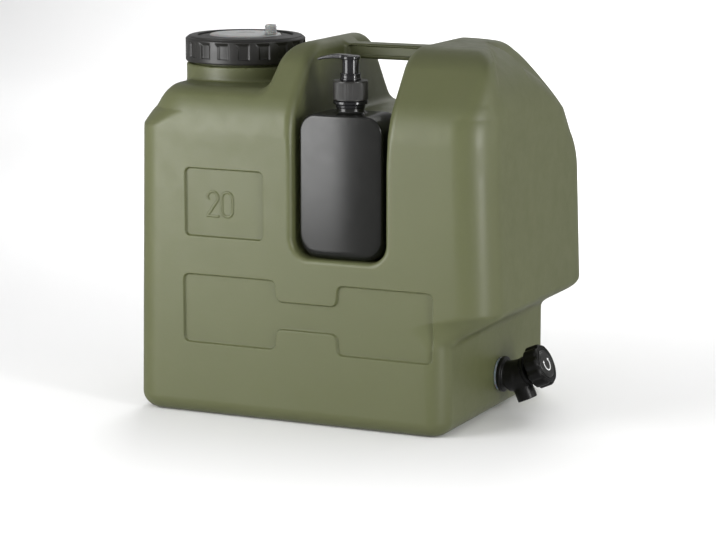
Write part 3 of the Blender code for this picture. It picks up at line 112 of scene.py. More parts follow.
NOZZLE_LOW, NOZZLE_TOP, NOZZLE_RADIUS, NOZZLE_BORE = 326.9, 346.1, 5.5, 3.0
NOZZLE_FOOT, NOZZLE_FLANGE, RIBS, RIB_PITCH, RIB = 9.0, 1.6, 4, 2.0, 0.7

# Tap sizes
TAP_AXIS_Y, TAP_HOLE_Z = 5.0, 35.0
TAP_CENTRE = (172.0, 5.0, 36.0)
TAP_TILT = 24 * DEG
TAP_AXIS = (math.cos(TAP_TILT), 0.0, math.sin(TAP_TILT))
SPOUT_AXIS = (math.sin(TAP_TILT), 0.0, -math.cos(TAP_TILT))
FLANGE_RADIUS, FLANGE_LOW, FLANGE_HIGH = 16.3, 156.6, 160.6
TAIL_RADIUS, TAIL_LOW, TAIL_HIGH = 9.5, 133.5, 172.0
BOSS_RADIUS, BOSS_HIGH, INLET_RADIUS, INLET_DEPTH = 12.2, 171.0, 5.5, 14.2
BARREL_RADIUS, BARREL_ENDS, BARREL_BORE = 13.0, (-12.0, 8.5), 8.0
VALVE_SEAT, PORT_RADIUS, PORT_ENDS = -8.0, 4.0, (-16.0, -4.0)
SPOUT_RADIUS, SPOUT_BORE, SPOUT_LENGTH = 9.2, 6.2, 24.3
KNOB_RADIUS, KNOB_LOW, KNOB_HIGH = 19.5, 16.3, 29.8
KNOB_LOBES, KNOB_SCALLOP, KNOB_GRIP = 10, 1.4, 17.7
ARC_RADIUS, ARC_WIDTH, ARC_ENDS, ARROW = 6.0, 1.1, (-105, 115), 22

# Bottle and pump sizes
BEAK_TURN, BEAK_REACH, BEAK_ARCH, BEAK_DROOP = 8 * DEG, 29.5, 1.2, 2.2
BEAK_HALF, BEAK_SWELL, BEAK_THIN, BEAK_WIDTH, BEAK_TAPER = 1.6, 0.4, 0.5, 6.0, 3.2
BOTTLE = (51.8, -95.95)
BOTTLE_LOW, BOTTLE_HIGH = 151.8, 279.6
BOTTLE_HALF, BOTTLE_FRONT, BOTTLE_BACK = 40.0, -120.7, -71.2
FACE_CORNER, FACE_BULGE, BACK_EDGE = 16.5, 280.0, 6.0
FRONT_EDGE, FOOT_EDGE, FOOT_FADE, FOOT_HIGH = 2.6, 5.0, 20.0, 175.0
NECK_TOP_Z, BOTTLE_NECK, BOTTLE_BORE, BOTTLE_FLOOR = 301.8, 12.3, 10.6, 3
NECK_JOIN, NECK_BLEND = (270.0, 290.0), 3.0
BOTTLE_THREAD, BOTTLE_THREAD_DEPTH, BOTTLE_PITCH, BOTTLE_TURNS = 293.1, 0.9, 4.2, 1.25
COLLAR_LOW, COLLAR_HIGH, PUMP_COLLAR_RADIUS, PUMP_COLLAR_BORE = 291.0, 308.3, 15.3, 13.9
KNURLS, KNURL_DEPTH = 72, 0.2
CHAPLET_LOW, CHAPLET_TOP = 290.3, 314.6
HEAD_LOW, HEAD_TOP, CROWN_RADIUS, SHROUD_LOW = 326.6, 329.8, 8.6, 312.4
SPRING_ENDS, SPRING_TURNS, SPRING_RADIUS, SPRING_WIRE = (292.1, 325.3), 7, 4.75, 0.45
SPRING_STEPS, WIRE_SIDES, SPRING_SEAT, PRESS = 32, 10, 0.3, 11.0

# Studio, in metres and watts
FLOOR_HALF, FLOOR_FRONT, FLOOR_BACK, SWEEP, BACKDROP_HEIGHT = 5.0, -3.0, 2.2, 1.2, 4.0
WORLD_STRENGTH = 0.345
# Lamps: name, place, size, power, target and spread in degrees
LAMPS = (
    ("key", (-0.65, -0.94, 0.44), (0.64, 0.88), 13.2, (-0.03, 0.0, 0.28), 180),
    ("side", (1.4, 0.4, 0.5), (0.7, 0.9), 2.4, (0.1, 0.0, 0.3), 180),
    ("corner", (1.5, -0.62, 0.42), (0.3, 0.9), 14.5, (0.1, 0.0, 0.25), 180),
    ("back", (0.3, 2.6, 1.8), (3.0, 3.0), 105.0, (0.3, 3.5, 0.0), 180),
    ("front", (0.3, -1.5, 1.2), (0.8, 0.8), 8.0, (0.3, -1.1, 0.0), 60),
    ("rear", (-0.5, 1.7, 0.9), (1.0, 1.0), 8.0, (0.0, 0.0, 0.2), 100),
)
CAMERA_LENS, CAMERA_PLACE = 137.06, (1.0528, -2.2470, 0.5749)
CAMERA_TURN = (79.6 * DEG, 0.0, 24.8 * DEG)


# Fields


def round_max(a, b, radius):
    """Intersection of two fields with a rounded outer edge."""
    inner = np.minimum(np.maximum(a, b) + radius, 0.0)
    return inner + np.hypot(np.maximum(a + radius, 0.0), np.maximum(b + radius, 0.0)) - radius


def round_min(a, b, radius):
    """Union of two fields with a rounded inner corner."""
    return -round_max(-a, -b, radius)


def ease(value):
    """Eased step from 0 to 1."""
    t = np.clip(value, 0.0, 1.0)
    return t * t * (3 - 2 * t)


def shoulder(z, profile):
    """Inset of a shoulder and its slope at a height."""
    start, radius, slope = profile
    rise = np.maximum(z - start, 0.0)
    bend = radius * math.sin(slope)
    arc = np.minimum(rise, bend)
    root = np.sqrt(radius ** 2 - arc ** 2)
    return radius - root + np.maximum(rise - bend, 0.0) * math.tan(slope), arc / root


def upright(z, base, start, rate, limit):
    """Radius of an upright corner at a height."""
    return base + np.clip(rate * np.maximum(z - start, 0.0), -limit, limit)


def tank_field(x, y, z):
    """Distance from the tank's skin, negative inside."""
    inset, slope = shoulder(z, FRONT_SHOULDER)
    front = (-HALF_DEPTH + inset - y) / np.sqrt(1 + slope ** 2)
    inset, slope = shoulder(z, BACK_SHOULDER)
    back = (y - HALF_DEPTH + inset) / np.sqrt(1 + slope ** 2)
    rise = np.clip((z - OVERHANG_START) / OVERHANG_RISE, 0.0, 1.0)
    swell = (1 - np.cos(math.pi * rise)) / 2
    above = np.maximum(z - OVERHANG_START - OVERHANG_RISE, 0.0)
    lean = OVERHANG * math.pi / OVERHANG_RISE * np.sin(math.pi * rise) / 2
    right = (x - RIGHT - OVERHANG * swell + OVERHANG_DRAFT * above) / np.sqrt(1 + lean ** 2)
    left = LEFT + LEFT_DRAFT * z - x
    right_radius = LOW_RIGHT_RADIUS + (HIGH_RIGHT_RADIUS - LOW_RIGHT_RADIUS) * swell
    radius = np.where(
        x > 0,
        np.where(y < 0, upright(z, right_radius, *FRONT_RIGHT_CHANGE),
                 upright(z, right_radius, *BACK_RIGHT_CHANGE)),
        np.where(y < 0, upright(z, LEFT_RADIUS, *FRONT_LEFT_CHANGE),
                 upright(z, LEFT_RADIUS, *BACK_LEFT_CHANGE)))
    side = np.where(x > 0, right, left)
    face = np.where(y < 0, front, back)
    body = round_max(round_max(side, face, radius), -z, BASE_FILLET)
    tower = (TOWER_LEFT + TOWER_DRAFT * (z - PLATEAU) - x) / math.sqrt(1 + TOWER_DRAFT ** 2)
    step = round_min(z - PLATEAU, tower, PLATEAU_CORNER)
    near_end = ease((side - face) / CORNER_BLEND + 0.5)
    left_end = near_end * ease((-x - PLATEAU_END[0]) / PLATEAU_END[1])
    body = round_max(body, step, PLATEAU_EDGE[0] + PLATEAU_EDGE[1] * left_end)
    right_end = near_end * ease((x - TOP_END[0]) / TOP_END[1])
    body = round_max(body, z - HEIGHT, TOP_EDGE[0] + TOP_EDGE[1] * right_end)
    block = round_max(POCKET_BACK - y, z - SADDLE - SADDLE_SLOPE * y, SADDLE_ROUND)
    sides = round_min(x - POCKET_LEFT, POCKET_RIGHT - x, POCKET_SIDE)
    tray = round_min(sides, z - POCKET_FLOOR, POCKET_CORNER)
    slot = round_min(tray, block, POCKET_BLEND)
    high = ease((z - POCKET_EDGE_RISE[0]) / POCKET_EDGE_RISE[1])
    body = round_max(body, slot, POCKET_EDGE[0] + POCKET_EDGE[1] * high)
    middle = (HANDLE_LOW + HANDLE_HIGH) / 2
    bar = round_max(np.abs(y) - HANDLE_HALF, np.abs(z - middle) - (HANDLE_HIGH - middle),
                    HANDLE_CHAMFER)
    centre = (POCKET_LEFT + POCKET_RIGHT) / 2
    bar = np.maximum(bar, np.abs(x - centre) - HANDLE_REACH)
    body = round_min(body, bar, HANDLE_BLEND)
    hollow = round_max(np.abs(x - centre) - HOLLOW_HALF - HOLLOW_LEAN * (z - middle),
                       np.abs(z - HOLLOW_MIDDLE) - HOLLOW_RISE, HOLLOW_CORNER)
    hollow = np.maximum(hollow, y + HANDLE_HALF - HOLLOW_DEPTH)
    body = round_max(body, -hollow, HOLLOW_EDGE)
    off = np.hypot(x - NECK[0], y - NECK[1])
    ring = round_max(off - COLLAR_RADIUS, z - COLLAR_TOP, COLLAR_EDGE)
    return round_min(body, np.maximum(ring, PLATEAU - COLLAR_DROP - z), COLLAR_BLEND)


def surface_net(field, low, high, step):
    """Quads on the zero set of a field: one point for each grid cell that it crosses."""
    size = tuple(int(math.ceil((h - l) / step)) + 1 for l, h in zip(low, high))
    axes = [low[i] + step * np.arange(size[i]) for i in range(3)]
    values = field(*np.meshgrid(*axes, indexing="ij"))
    inside = values < 0
    shape = tuple(n - 1 for n in size)
    corners = [(i, j, k) for i in (0, 1) for j in (0, 1) for k in (0, 1)]
    count = np.zeros(shape, dtype=np.int8)
    for corner in corners:
        count += inside[tuple(slice(o, o + n) for o, n in zip(corner, shape))]
    active = (count > 0) & (count < 8)
    cells = np.argwhere(active)
    index = np.full(shape, -1)
    index[active] = np.arange(len(cells))
    total = np.zeros((len(cells), 3))
    hits = np.zeros(len(cells))
    for axis in range(3):
        for a, b in ((0, 0), (0, 1), (1, 0), (1, 1)):
            first = np.insert([a, b], axis, 0)
            second = np.insert([a, b], axis, 1)
            v0 = values[tuple((cells + first).T)]
            v1 = values[tuple((cells + second).T)]
            crossed = (v0 < 0) != (v1 < 0)
            point = np.repeat(first[None].astype(float), len(cells), 0)
            point[:, axis] = np.where(crossed, v0 / np.where(crossed, v0 - v1, 1.0), 0.0)
            total += point * crossed[:, None]
            hits += crossed
    points = np.array(low) + step * (cells + total / hits[:, None])
    quads = []
    for axis in range(3):
        u, v = [a for a in range(3) if a != axis]
        first = [slice(None)] * 3
        second = [slice(None)] * 3
        first[axis] = slice(0, -1)
        second[axis] = slice(1, None)
        start = inside[tuple(first)]
        edges = np.argwhere(start != inside[tuple(second)])
        flip = start[tuple(edges.T)]
        ring = []
        for du, dv in ((1, 1), (0, 1), (0, 0), (1, 0)):
            cell = edges.copy()
            cell[:, u] -= du
            cell[:, v] -= dv
            ring.append(index[tuple(cell.T)])
        quad = np.array(ring).T
        if axis == 1:
            flip = ~flip
        quad[~flip] = quad[~flip][:, ::-1]
        quads.append(quad)
    return points, np.concatenate(quads)


def gradient(field, points, reach=0.05):
    """Slope of a field at some points."""
    slopes = []
    for axis in range(3):
        shift = np.zeros(3)
        shift[axis] = reach
        slopes.append((field(*(points + shift).T) - field(*(points - shift).T)) / (2 * reach))
    return np.array(slopes).T


def settle(field, points, rounds=4):
    """Move points onto the zero set of a field, and give the normals there."""
    for _ in range(rounds):
        slope = gradient(field, points)
        square = np.maximum((slope ** 2).sum(1), 0.05)
        move = np.clip(field(*points.T) / square, -1.5, 1.5)
        points = points - move[:, None] * slope
    slope = gradient(field, points)
    return points, slope / np.maximum(np.linalg.norm(slope, axis=1), 1e-9)[:, None]


# Pieces


def new_piece(name, points, faces, material, body, node=None, normals=None):
    """A mesh object from points in millimetres, riding on a body."""
    mesh = bpy.data.meshes.new(name)
    mesh.from_pydata((np.asarray(points) * MM).tolist(), [], [list(map(int, f)) for f in faces])
    mesh.materials.append(material)
    mesh.shade_smooth()
    if normals is not None:
        mesh.normals_split_custom_set_from_vertices(np.asarray(normals).tolist())
    piece = bpy.data.objects.new(name, mesh)
    bpy.context.scene.collection.objects.link(piece)
    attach(piece, body)
    if node:
        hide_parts(node)
    return piece


def net_piece(name, field, low, high, step, material, body, node):
    """A smooth piece whose skin is the zero set of a field."""
    points, quads = surface_net(field, low, high, step)
    points, normals = settle(field, points)
    return new_piece(name, points, quads, material, body, node, normals)


# Tank


def box_field(x, z, box, radius):
    """Distance inside a flat rounded box, negative outside."""
    x0, x1, z0, z1 = box
    reach = round_max(np.maximum(x0 - x, x - x1), np.maximum(z0 - z, z - z1), radius)
    return -reach


def outline_field(x, z, outline):
    """Distance inside a flat outline of straight sides, negative outside."""
    nearest = np.full(x.shape, 1e9)
    inside = np.zeros(x.shape, dtype=bool)
    for (x0, z0), (x1, z1) in zip(outline, outline[1:] + outline[:1]):
        dx, dz = x1 - x0, z1 - z0
        share = np.clip(((x - x0) * dx + (z - z0) * dz) / (dx * dx + dz * dz), 0.0, 1.0)
        nearest = np.minimum(nearest, np.hypot(x - x0 - share * dx, z - z0 - share * dz))
        if dz:
            crosses = (z0 > z) != (z1 > z)
            inside ^= crosses & (x < x0 + dx * (z - z0) / dz)
    return np.where(inside, nearest, -nearest)


def filleted(outline, reach, steps=5):
    """The outline with each corner rounded off from reach before it to reach past it."""
    points = []
    for i, corner in enumerate(outline):
        sides = []
        for other in (outline[i - 1], outline[(i + 1) % len(outline)]):
            share = reach / math.hypot(other[0] - corner[0], other[1] - corner[1])
            sides.append([c + share * (o - c) for c, o in zip(corner, other)])
        for s in np.linspace(0.0, 1.0, steps):
            points.append([(1 - s) ** 2 * a + 2 * s * (1 - s) * c + s * s * b
                           for a, c, b in zip(sides[0], corner, sides[1])])
    return points


def panel_depth(x, z):
    """How deep the two panels lie at a place on the front, and how near their edges are."""
    x0, x1, z0, z1 = LONG_PANEL
    w0, w1, v0, v1 = LONG_WAIST
    outline = [
        (x0, z0), (w0 - LONG_SLANT, z0), (w0, v0), (w1, v0), (w1 + LONG_SLANT, z0), (x1, z0),
        (x1, z1), (w1 + LONG_SLANT, z1), (w1, v1), (w0, v1), (w0 - LONG_SLANT, z1), (x0, z1),
    ]
    small = box_field(x, z, SMALL_PANEL, SMALL_CORNER)
    long = outline_field(x, z, filleted(outline, LONG_CORNER))
    inner = np.maximum(small, long)
    return PANEL_DEPTH * ease(inner / PANEL_RAMP + 0.5), np.abs(inner)


def digit_field(x, z):
    """Distance from the middle of the strokes of a raised number 20."""
    rise = z - DIGIT_MIDDLE
    nearest = np.abs(round_max(np.abs(x - ZERO) - DIGIT_ROUND, np.abs(rise) - DIGIT_HALF,
                               DIGIT_ROUND))
    dx, dz = x - TWO, rise - DIGIT_HALF + DIGIT_ROUND
    angle = np.arctan2(dz, dx)
    bow = np.where((angle > BOW_END) | (angle < BOW_START),
                   np.abs(np.hypot(dx, dz) - DIGIT_ROUND), 1e9)
    nearest = np.minimum(nearest, bow)
    bend = (DIGIT_ROUND * math.cos(BOW_END),
            DIGIT_HALF - DIGIT_ROUND + DIGIT_ROUND * math.sin(BOW_END))
    path = [bend, (-DIGIT_ROUND, -DIGIT_HALF), (DIGIT_ROUND, -DIGIT_HALF)]
    for (x0, z0), (x1, z1) in zip(path, path[1:]):
        ux, uz = x1 - x0, z1 - z0
        px, pz = x - TWO - x0, rise - z0
        share = np.clip((px * ux + pz * uz) / (ux * ux + uz * uz), 0.0, 1.0)
        nearest = np.minimum(nearest, np.hypot(px - share * ux, pz - share * uz))
    return nearest


def front_relief(x, z):
    """How deep the front is pressed in: the panels, less the raised number."""
    stroke = ease((STROKE_HALF + STROKE_SPREAD - digit_field(x, z)) / STROKE_RAMP)
    return panel_depth(x, z)[0] - STROKE_RISE * stroke


def make_tank(material):
    """The tank's smooth skin, with its two panels pressed into the front."""
    points, quads = surface_net(tank_field, (-160.0, -128.0, -4.0), (201.0, 128.0, 341.0),
                                SKIN_STEP)
    points, _ = settle(tank_field, points)
    skin = bmesh.new()
    verts = [skin.verts.new(p) for p in points]
    for quad in quads:
        skin.faces.new([verts[i] for i in quad])
    middles = points[quads].mean(1)
    near = panel_depth(middles[:, 0], middles[:, 2])[1]
    near = np.minimum(near, digit_field(middles[:, 0], middles[:, 2]))
    on_panels = (near < FINE_REACH) & (middles[:, 1] < FINE_FRONT)
    on_handle = (np.abs(middles[:, 1] + HANDLE_HALF) < HANDLE_FINE) \
        & (np.abs(middles[:, 0] - FINE_CENTRE) < HANDLE_REACH) \
        & (middles[:, 2] > HANDLE_LOW - HANDLE_FINE) & (middles[:, 2] < HANDLE_HIGH + HANDLE_FINE)
    skin.faces.ensure_lookup_table()
    edges = {e for i in np.nonzero(on_panels | on_handle)[0] for e in skin.faces[i].edges}
    bmesh.ops.subdivide_edges(skin, edges=list(edges), cuts=FINE_CUTS, use_grid_fill=True)
    skin.verts.index_update()
    points = np.array([v.co for v in skin.verts])
    faces = [[v.index for v in f.verts] for f in skin.faces]
    skin.free()
    points, normals = settle(tank_field, points, 2)
    front = (points[:, 1] < RELIEF_FRONT) & (normals[:, 1] < -0.5)
    reach = 0.2
    x, z = points[front, 0], points[front, 2]
    depth, lean = np.zeros(len(points)), np.zeros(points.shape)
    depth[front] = front_relief(x, z)
    lean[front, 0] = (front_relief(x + reach, z) - front_relief(x - reach, z)) / (2 * reach)
    lean[front, 2] = (front_relief(x, z + reach) - front_relief(x, z - reach)) / (2 * reach)
    lean -= (lean * normals).sum(1)[:, None] * normals
    points = points - depth[:, None] * normals
    normals = normals + lean
    normals /= np.linalg.norm(normals, axis=1)[:, None]
    return new_piece("tank_shell", points, faces, material, "tank", "tank_body", normals)


# Turned pieces


def eased(outline, steps=4):
    """Round the corners of a closed outline of (radius, height, easing) points."""
    points = []
    for i, (r, z, ease_by) in enumerate(outline):
        corner = np.array((r, z))
        back = np.array(outline[i - 1][:2]) - corner
        ahead = np.array(outline[(i + 1) % len(outline)][:2]) - corner
        reach = min(ease_by, 0.45 * np.linalg.norm(back), 0.45 * np.linalg.norm(ahead))
        if reach <= 0:
            points.append(tuple(corner))
            continue
        start = corner + back / np.linalg.norm(back) * reach
        end = corner + ahead / np.linalg.norm(ahead) * reach
        for t in np.linspace(0, 1, steps + 1):
            point = (1 - t) ** 2 * start + 2 * t * (1 - t) * corner + t ** 2 * end
            points.append(tuple(point))
    return points


def lathe(outline, segments, warp=None, steps=4):
    """Points and faces of a closed outline turned about Z; points on the axis become one."""
    profile = eased(outline, steps)
    angles = np.linspace(0, 2 * math.pi, segments, endpoint=False)
    points, rows = [], []
    for r, z in profile:
        if r < 1e-6:
            rows.append([len(points)] * segments)
            points.append((0.0, 0.0, z))
            continue
        radii = warp(r, angles, z) if warp else np.full(segments, r)
        rows.append(list(range(len(points), len(points) + segments)))
        points += [(q * math.cos(a), q * math.sin(a), z) for q, a in zip(radii, angles)]
    faces = []
    for i, row in enumerate(rows):
        after = rows[(i + 1) % len(rows)]
        for j in range(segments):
            k = (j + 1) % segments
            ring = list(dict.fromkeys((row[j], row[k], after[k], after[j])))
            if len(ring) > 2:
                faces.append(ring)
    return np.array(points), faces


def soft_normals(points, faces):
    """Normals weighted by the area of the faces round each point."""
    normals = np.zeros_like(points)
    for face in faces:
        a, b = points[face[2]] - points[face[0]], points[face[-1]] - points[face[1]]
        across = np.cross(a, b)
        for i in face:
            normals[i] += across
    return normals / np.maximum(np.linalg.norm(normals, axis=1), 1e-12)[:, None]


def place(points, origin, axis):
    """Turn points from Z to an axis in the XZ plane and move them."""
    ax, _, az = axis
    x, y, z = np.asarray(points, dtype=float).T
    return np.stack([az * x + ax * z, y, -ax * x + az * z], 1) + np.array(origin)


def turned_piece(name, outline, segments, origin, axis, material, body, node=None,
                 warp=None, steps=4):
    """A piece turned about an axis, with eased corners."""
    points, faces = lathe(outline, segments, warp, steps)
    points = place(points, origin, axis)
    return new_piece(name, points, faces, material, body, node,
                     soft_normals(points, faces))


def threaded(root, depth, pitch, turns, start):
    """Warp that raises one right-handed screw thread, faded at its ends, on a turned neck."""
    def warp(radius, angles, z):
        rise = np.zeros(len(angles))
        if radius > root - 0.05:
            for lap in range(math.ceil(turns)):
                total = angles / (2 * math.pi) + lap
                off = np.abs(z - start - pitch * total) / pitch
                ends = ease(total / 0.06) * ease((turns - total) / 0.06)
                rise = np.maximum(rise, np.clip(2 - 10 * off, 0.0, 1.0) * ends)
        return radius + depth * rise
    return warp


def make_neck(material):
    """The tank's threaded neck, inside the cap's skirt."""
    outline = [(NECK_BORE, COLLAR_TOP - 5, 0.3), (NECK_RADIUS, COLLAR_TOP - 5, 0)]
    outline += [(NECK_RADIUS, z, 0) for z in np.arange(NECK_THREAD - 2, NECK_TOP - 1.4, 0.4)]
    outline += [(NECK_RADIUS, NECK_TOP, 0.8), (NECK_BORE, NECK_TOP, 0.6)]
    turned_piece("neck_thread", outline, 240, (*NECK, 0.0), UP, material, "tank", None,
                 threaded(NECK_RADIUS, THREAD_DEPTH, CAP_PITCH, CAP_TURNS, NECK_THREAD))


# Cap


def flute(radius, angles, z):
    """Grip flutes: steep on their left and foot, fading at the top, where they lean left."""
    if radius < CAP_RADIUS - 1.2 or not FLUTE_LOW < z < FLUTE_HIGH:
        return np.full(len(angles), radius)
    period = 360 / FLUTES
    lean = FLUTE_LEAN * ease((z - FLUTE_HIGH + 4.5) / 4)
    turn = (np.degrees(angles) + FLUTE_START + lean) % period
    across = ease(turn / 0.9) * ease((period * FLUTE_SHARE + lean - turn) / 1.4)
    rise = ease((z - FLUTE_LOW) / 0.5) * ease((FLUTE_HIGH - z) / 3.5)
    return radius - FLUTE_DEPTH * across * rise


def make_cap(black, pale):
    """Screw ring with its flutes, the pale disc and its ribbed nozzle."""
    levels = [FLUTE_LOW - 0.02, *np.linspace(FLUTE_LOW, FLUTE_LOW + 0.5, 4)]
    levels += [*np.linspace(FLUTE_LOW + 2, FLUTE_HIGH - 4.5, 5)]
    levels += [*np.linspace(FLUTE_HIGH - 4, FLUTE_HIGH, 9)]
    outline = [(CAP_INNER, CAP_LOW, 0.4), (CAP_RADIUS - 0.6, CAP_LOW, 0.5),
               (CAP_RADIUS, CAP_LOW + 1.0, 0.6)]
    outline += [(CAP_RADIUS, z, 0) for z in levels]
    outline += [
        (CAP_RADIUS - 0.2, FLUTE_HIGH + 0.4, 0.3), (CAP_RADIUS - 1.3, CAP_TOP - 1.7, 0.8),
        (CAP_RADIUS - 2.3, CAP_TOP - 1.6, 0.3), (CAP_RADIUS - 2.6, CAP_TOP - 0.7, 0.3),
        (CAP_RADIUS - 4.4, CAP_TOP, 1.4), (RIM_RADIUS + 0.9, CAP_TOP + 0.5, 0.5),
        (RIM_RADIUS, CAP_TOP - 0.2, 0.4), (RIM_RADIUS, RIM_FLOOR, 0.4),
        (OPENING_RADIUS + 0.8, RIM_FLOOR + 2.0, 0.5), (OPENING_RADIUS, RIM_FLOOR + 1.4, 0.3),
        (OPENING_RADIUS, DECK_LOW, 0.2),
        (CAP_INNER, DECK_LOW, 0.6),
    ]
    centre = (*NECK, 0.0)
    turned_piece("cap_shell", outline, 540, centre, UP, black, "cap_screw", "cap_ring",
                 flute)
    seal = NECK_RADIUS - 0.3
    disc = OPENING_RADIUS - 0.35
    turned_piece("disc_shell", [
        (0, DISC_LOW, 0), (seal, DISC_LOW, 0.3), (seal, DISC_LOW + 2, 0.3),
        (disc, DISC_LOW + 2, 0.3), (disc, DISC_TOP, 0.4), (disc - 1.4, DISC_TOP + 1.3, 0.6),
        (30.2, DISC_TOP + 1.5, 0.3), (29.8, DISC_TOP + 1.1, 0.2), (28.6, DISC_TOP + 1.1, 0.2),
        (28.2, DISC_TOP + 1.5, 0.3), (9.0, DISC_TOP + 1.7, 0.3), (8.4, DISC_TOP + 1.3, 0.2),
        (0, DISC_TOP + 1.3, 0),
    ], 96, centre, UP, pale, "cap_centre", "cap_insert_disc")
    root, flange = NOZZLE_RADIUS - RIB, NOZZLE_LOW + NOZZLE_FLANGE
    outline = [(NOZZLE_BORE, NOZZLE_LOW, 0.2), (NOZZLE_FOOT, NOZZLE_LOW, 0.3),
               (NOZZLE_FOOT, flange, 0.3), (NOZZLE_RADIUS, flange, 0.2),
               (NOZZLE_RADIUS, DISC_TOP + 1.2, 0.2)]
    for rib in range(RIBS):
        z = DISC_TOP + 2.2 + RIB_PITCH * rib
        outline += [(root, z - 0.8, 0.15), (NOZZLE_RADIUS + 0.5, z, 0.25), (root, z + 0.8, 0.15)]
    outline += [(root, NOZZLE_TOP, 0.5), (NOZZLE_BORE, NOZZLE_TOP, 0.3)]
    turned_piece("nozzle_shell", outline, 60, (*NOZZLE, 0.0), UP, pale, "cap_centre",
                 "pour_nozzle", steps=3)


# Tap


def along(x, y, z, axis):
    """Distance along an axis through the tap's centre, and distance from it."""
    dx, dy, dz = x - TAP_CENTRE[0], y - TAP_CENTRE[1], z - TAP_CENTRE[2]
    run = dx * axis[0] + dz * axis[2]
    off = np.sqrt(np.maximum(dx * dx + dy * dy + dz * dz - run * run, 1e-9))
    return run, off


def bar_field(run, off, radius, low, high, edge):
    """Round bar between two ends, with eased edges."""
    return round_max(off - radius, np.maximum(low - run, run - high), edge)


def tap_field(x, y, z):
    """Valve body: flange, tail, boss, leaning barrel and spout, with the ways inside it."""
    off = np.hypot(y - TAP_AXIS_Y, z - TAP_HOLE_Z)
    flange = bar_field(x, off, FLANGE_RADIUS, FLANGE_LOW, FLANGE_HIGH, 1.2)
    tail = bar_field(x, off, TAIL_RADIUS, TAIL_LOW, TAIL_HIGH, 0.6)
    boss = bar_field(x, off, BOSS_RADIUS, FLANGE_LOW + 1, BOSS_HIGH, 1.0)
    run, out = along(x, y, z, TAP_AXIS)
    barrel = bar_field(run, out, BARREL_RADIUS, *BARREL_ENDS, 1.6)
    bore = np.maximum(out - BARREL_BORE, VALVE_SEAT - run)
    port = np.maximum(out - PORT_RADIUS, np.maximum(PORT_ENDS[0] - run, run - PORT_ENDS[1]))
    run, out = along(x, y, z, SPOUT_AXIS)
    spout = bar_field(run, out, SPOUT_RADIUS, 0.0, SPOUT_LENGTH, 0.7)
    outlet = np.maximum(out - SPOUT_BORE, -run)
    inlet = np.maximum(off - INLET_RADIUS, x - TAP_CENTRE[0] + INLET_DEPTH)
    body = round_min(flange, boss, 2.0)
    body = round_min(body, barrel, 3.0)
    body = round_min(body, spout, 2.0)
    body = np.minimum(body, tail)
    for hollow in (bore, port, outlet, inlet):
        body = np.maximum(body, -hollow)
    return body


def scallop(radius, angles, z):
    """The knob's grip: shallow hollows between round lobes."""
    if radius < KNOB_GRIP:
        return np.full(len(angles), radius)
    wave = (1 - np.cos(KNOB_LOBES * angles)) / 2
    return radius - KNOB_SCALLOP * wave ** 2.2


def arc_strip(low, high):
    """Points and faces of a raised arc with an arrow head at each end."""
    start, end = ARC_ENDS
    head = 1.5 * ARC_WIDTH
    rows = [(math.radians(start - ARROW), 0.05), (math.radians(start - 2), head)]
    rows += [(a, ARC_WIDTH / 2) for a in np.radians(np.linspace(start, end, 49))]
    rows += [(math.radians(end + 2), head), (math.radians(end + ARROW), 0.05)]
    points = []
    for a, half in rows:
        inner, outer = ARC_RADIUS - half, ARC_RADIUS + half
        for r, z in ((inner, low), (inner, high), (outer, high), (outer, low)):
            points.append((r * math.cos(a), r * math.sin(a), z))
    faces = []
    for i in range(len(rows) - 1):
        for j in range(4):
            k = (j + 1) % 4
            faces.append([4 * i + j, 4 * i + k, 4 * i + 4 + k, 4 * i + 4 + j])
    last = 4 * len(rows) - 1
    faces += [[0, 1, 2, 3], [last, last - 1, last - 2, last - 3]]
    return np.array(points), faces


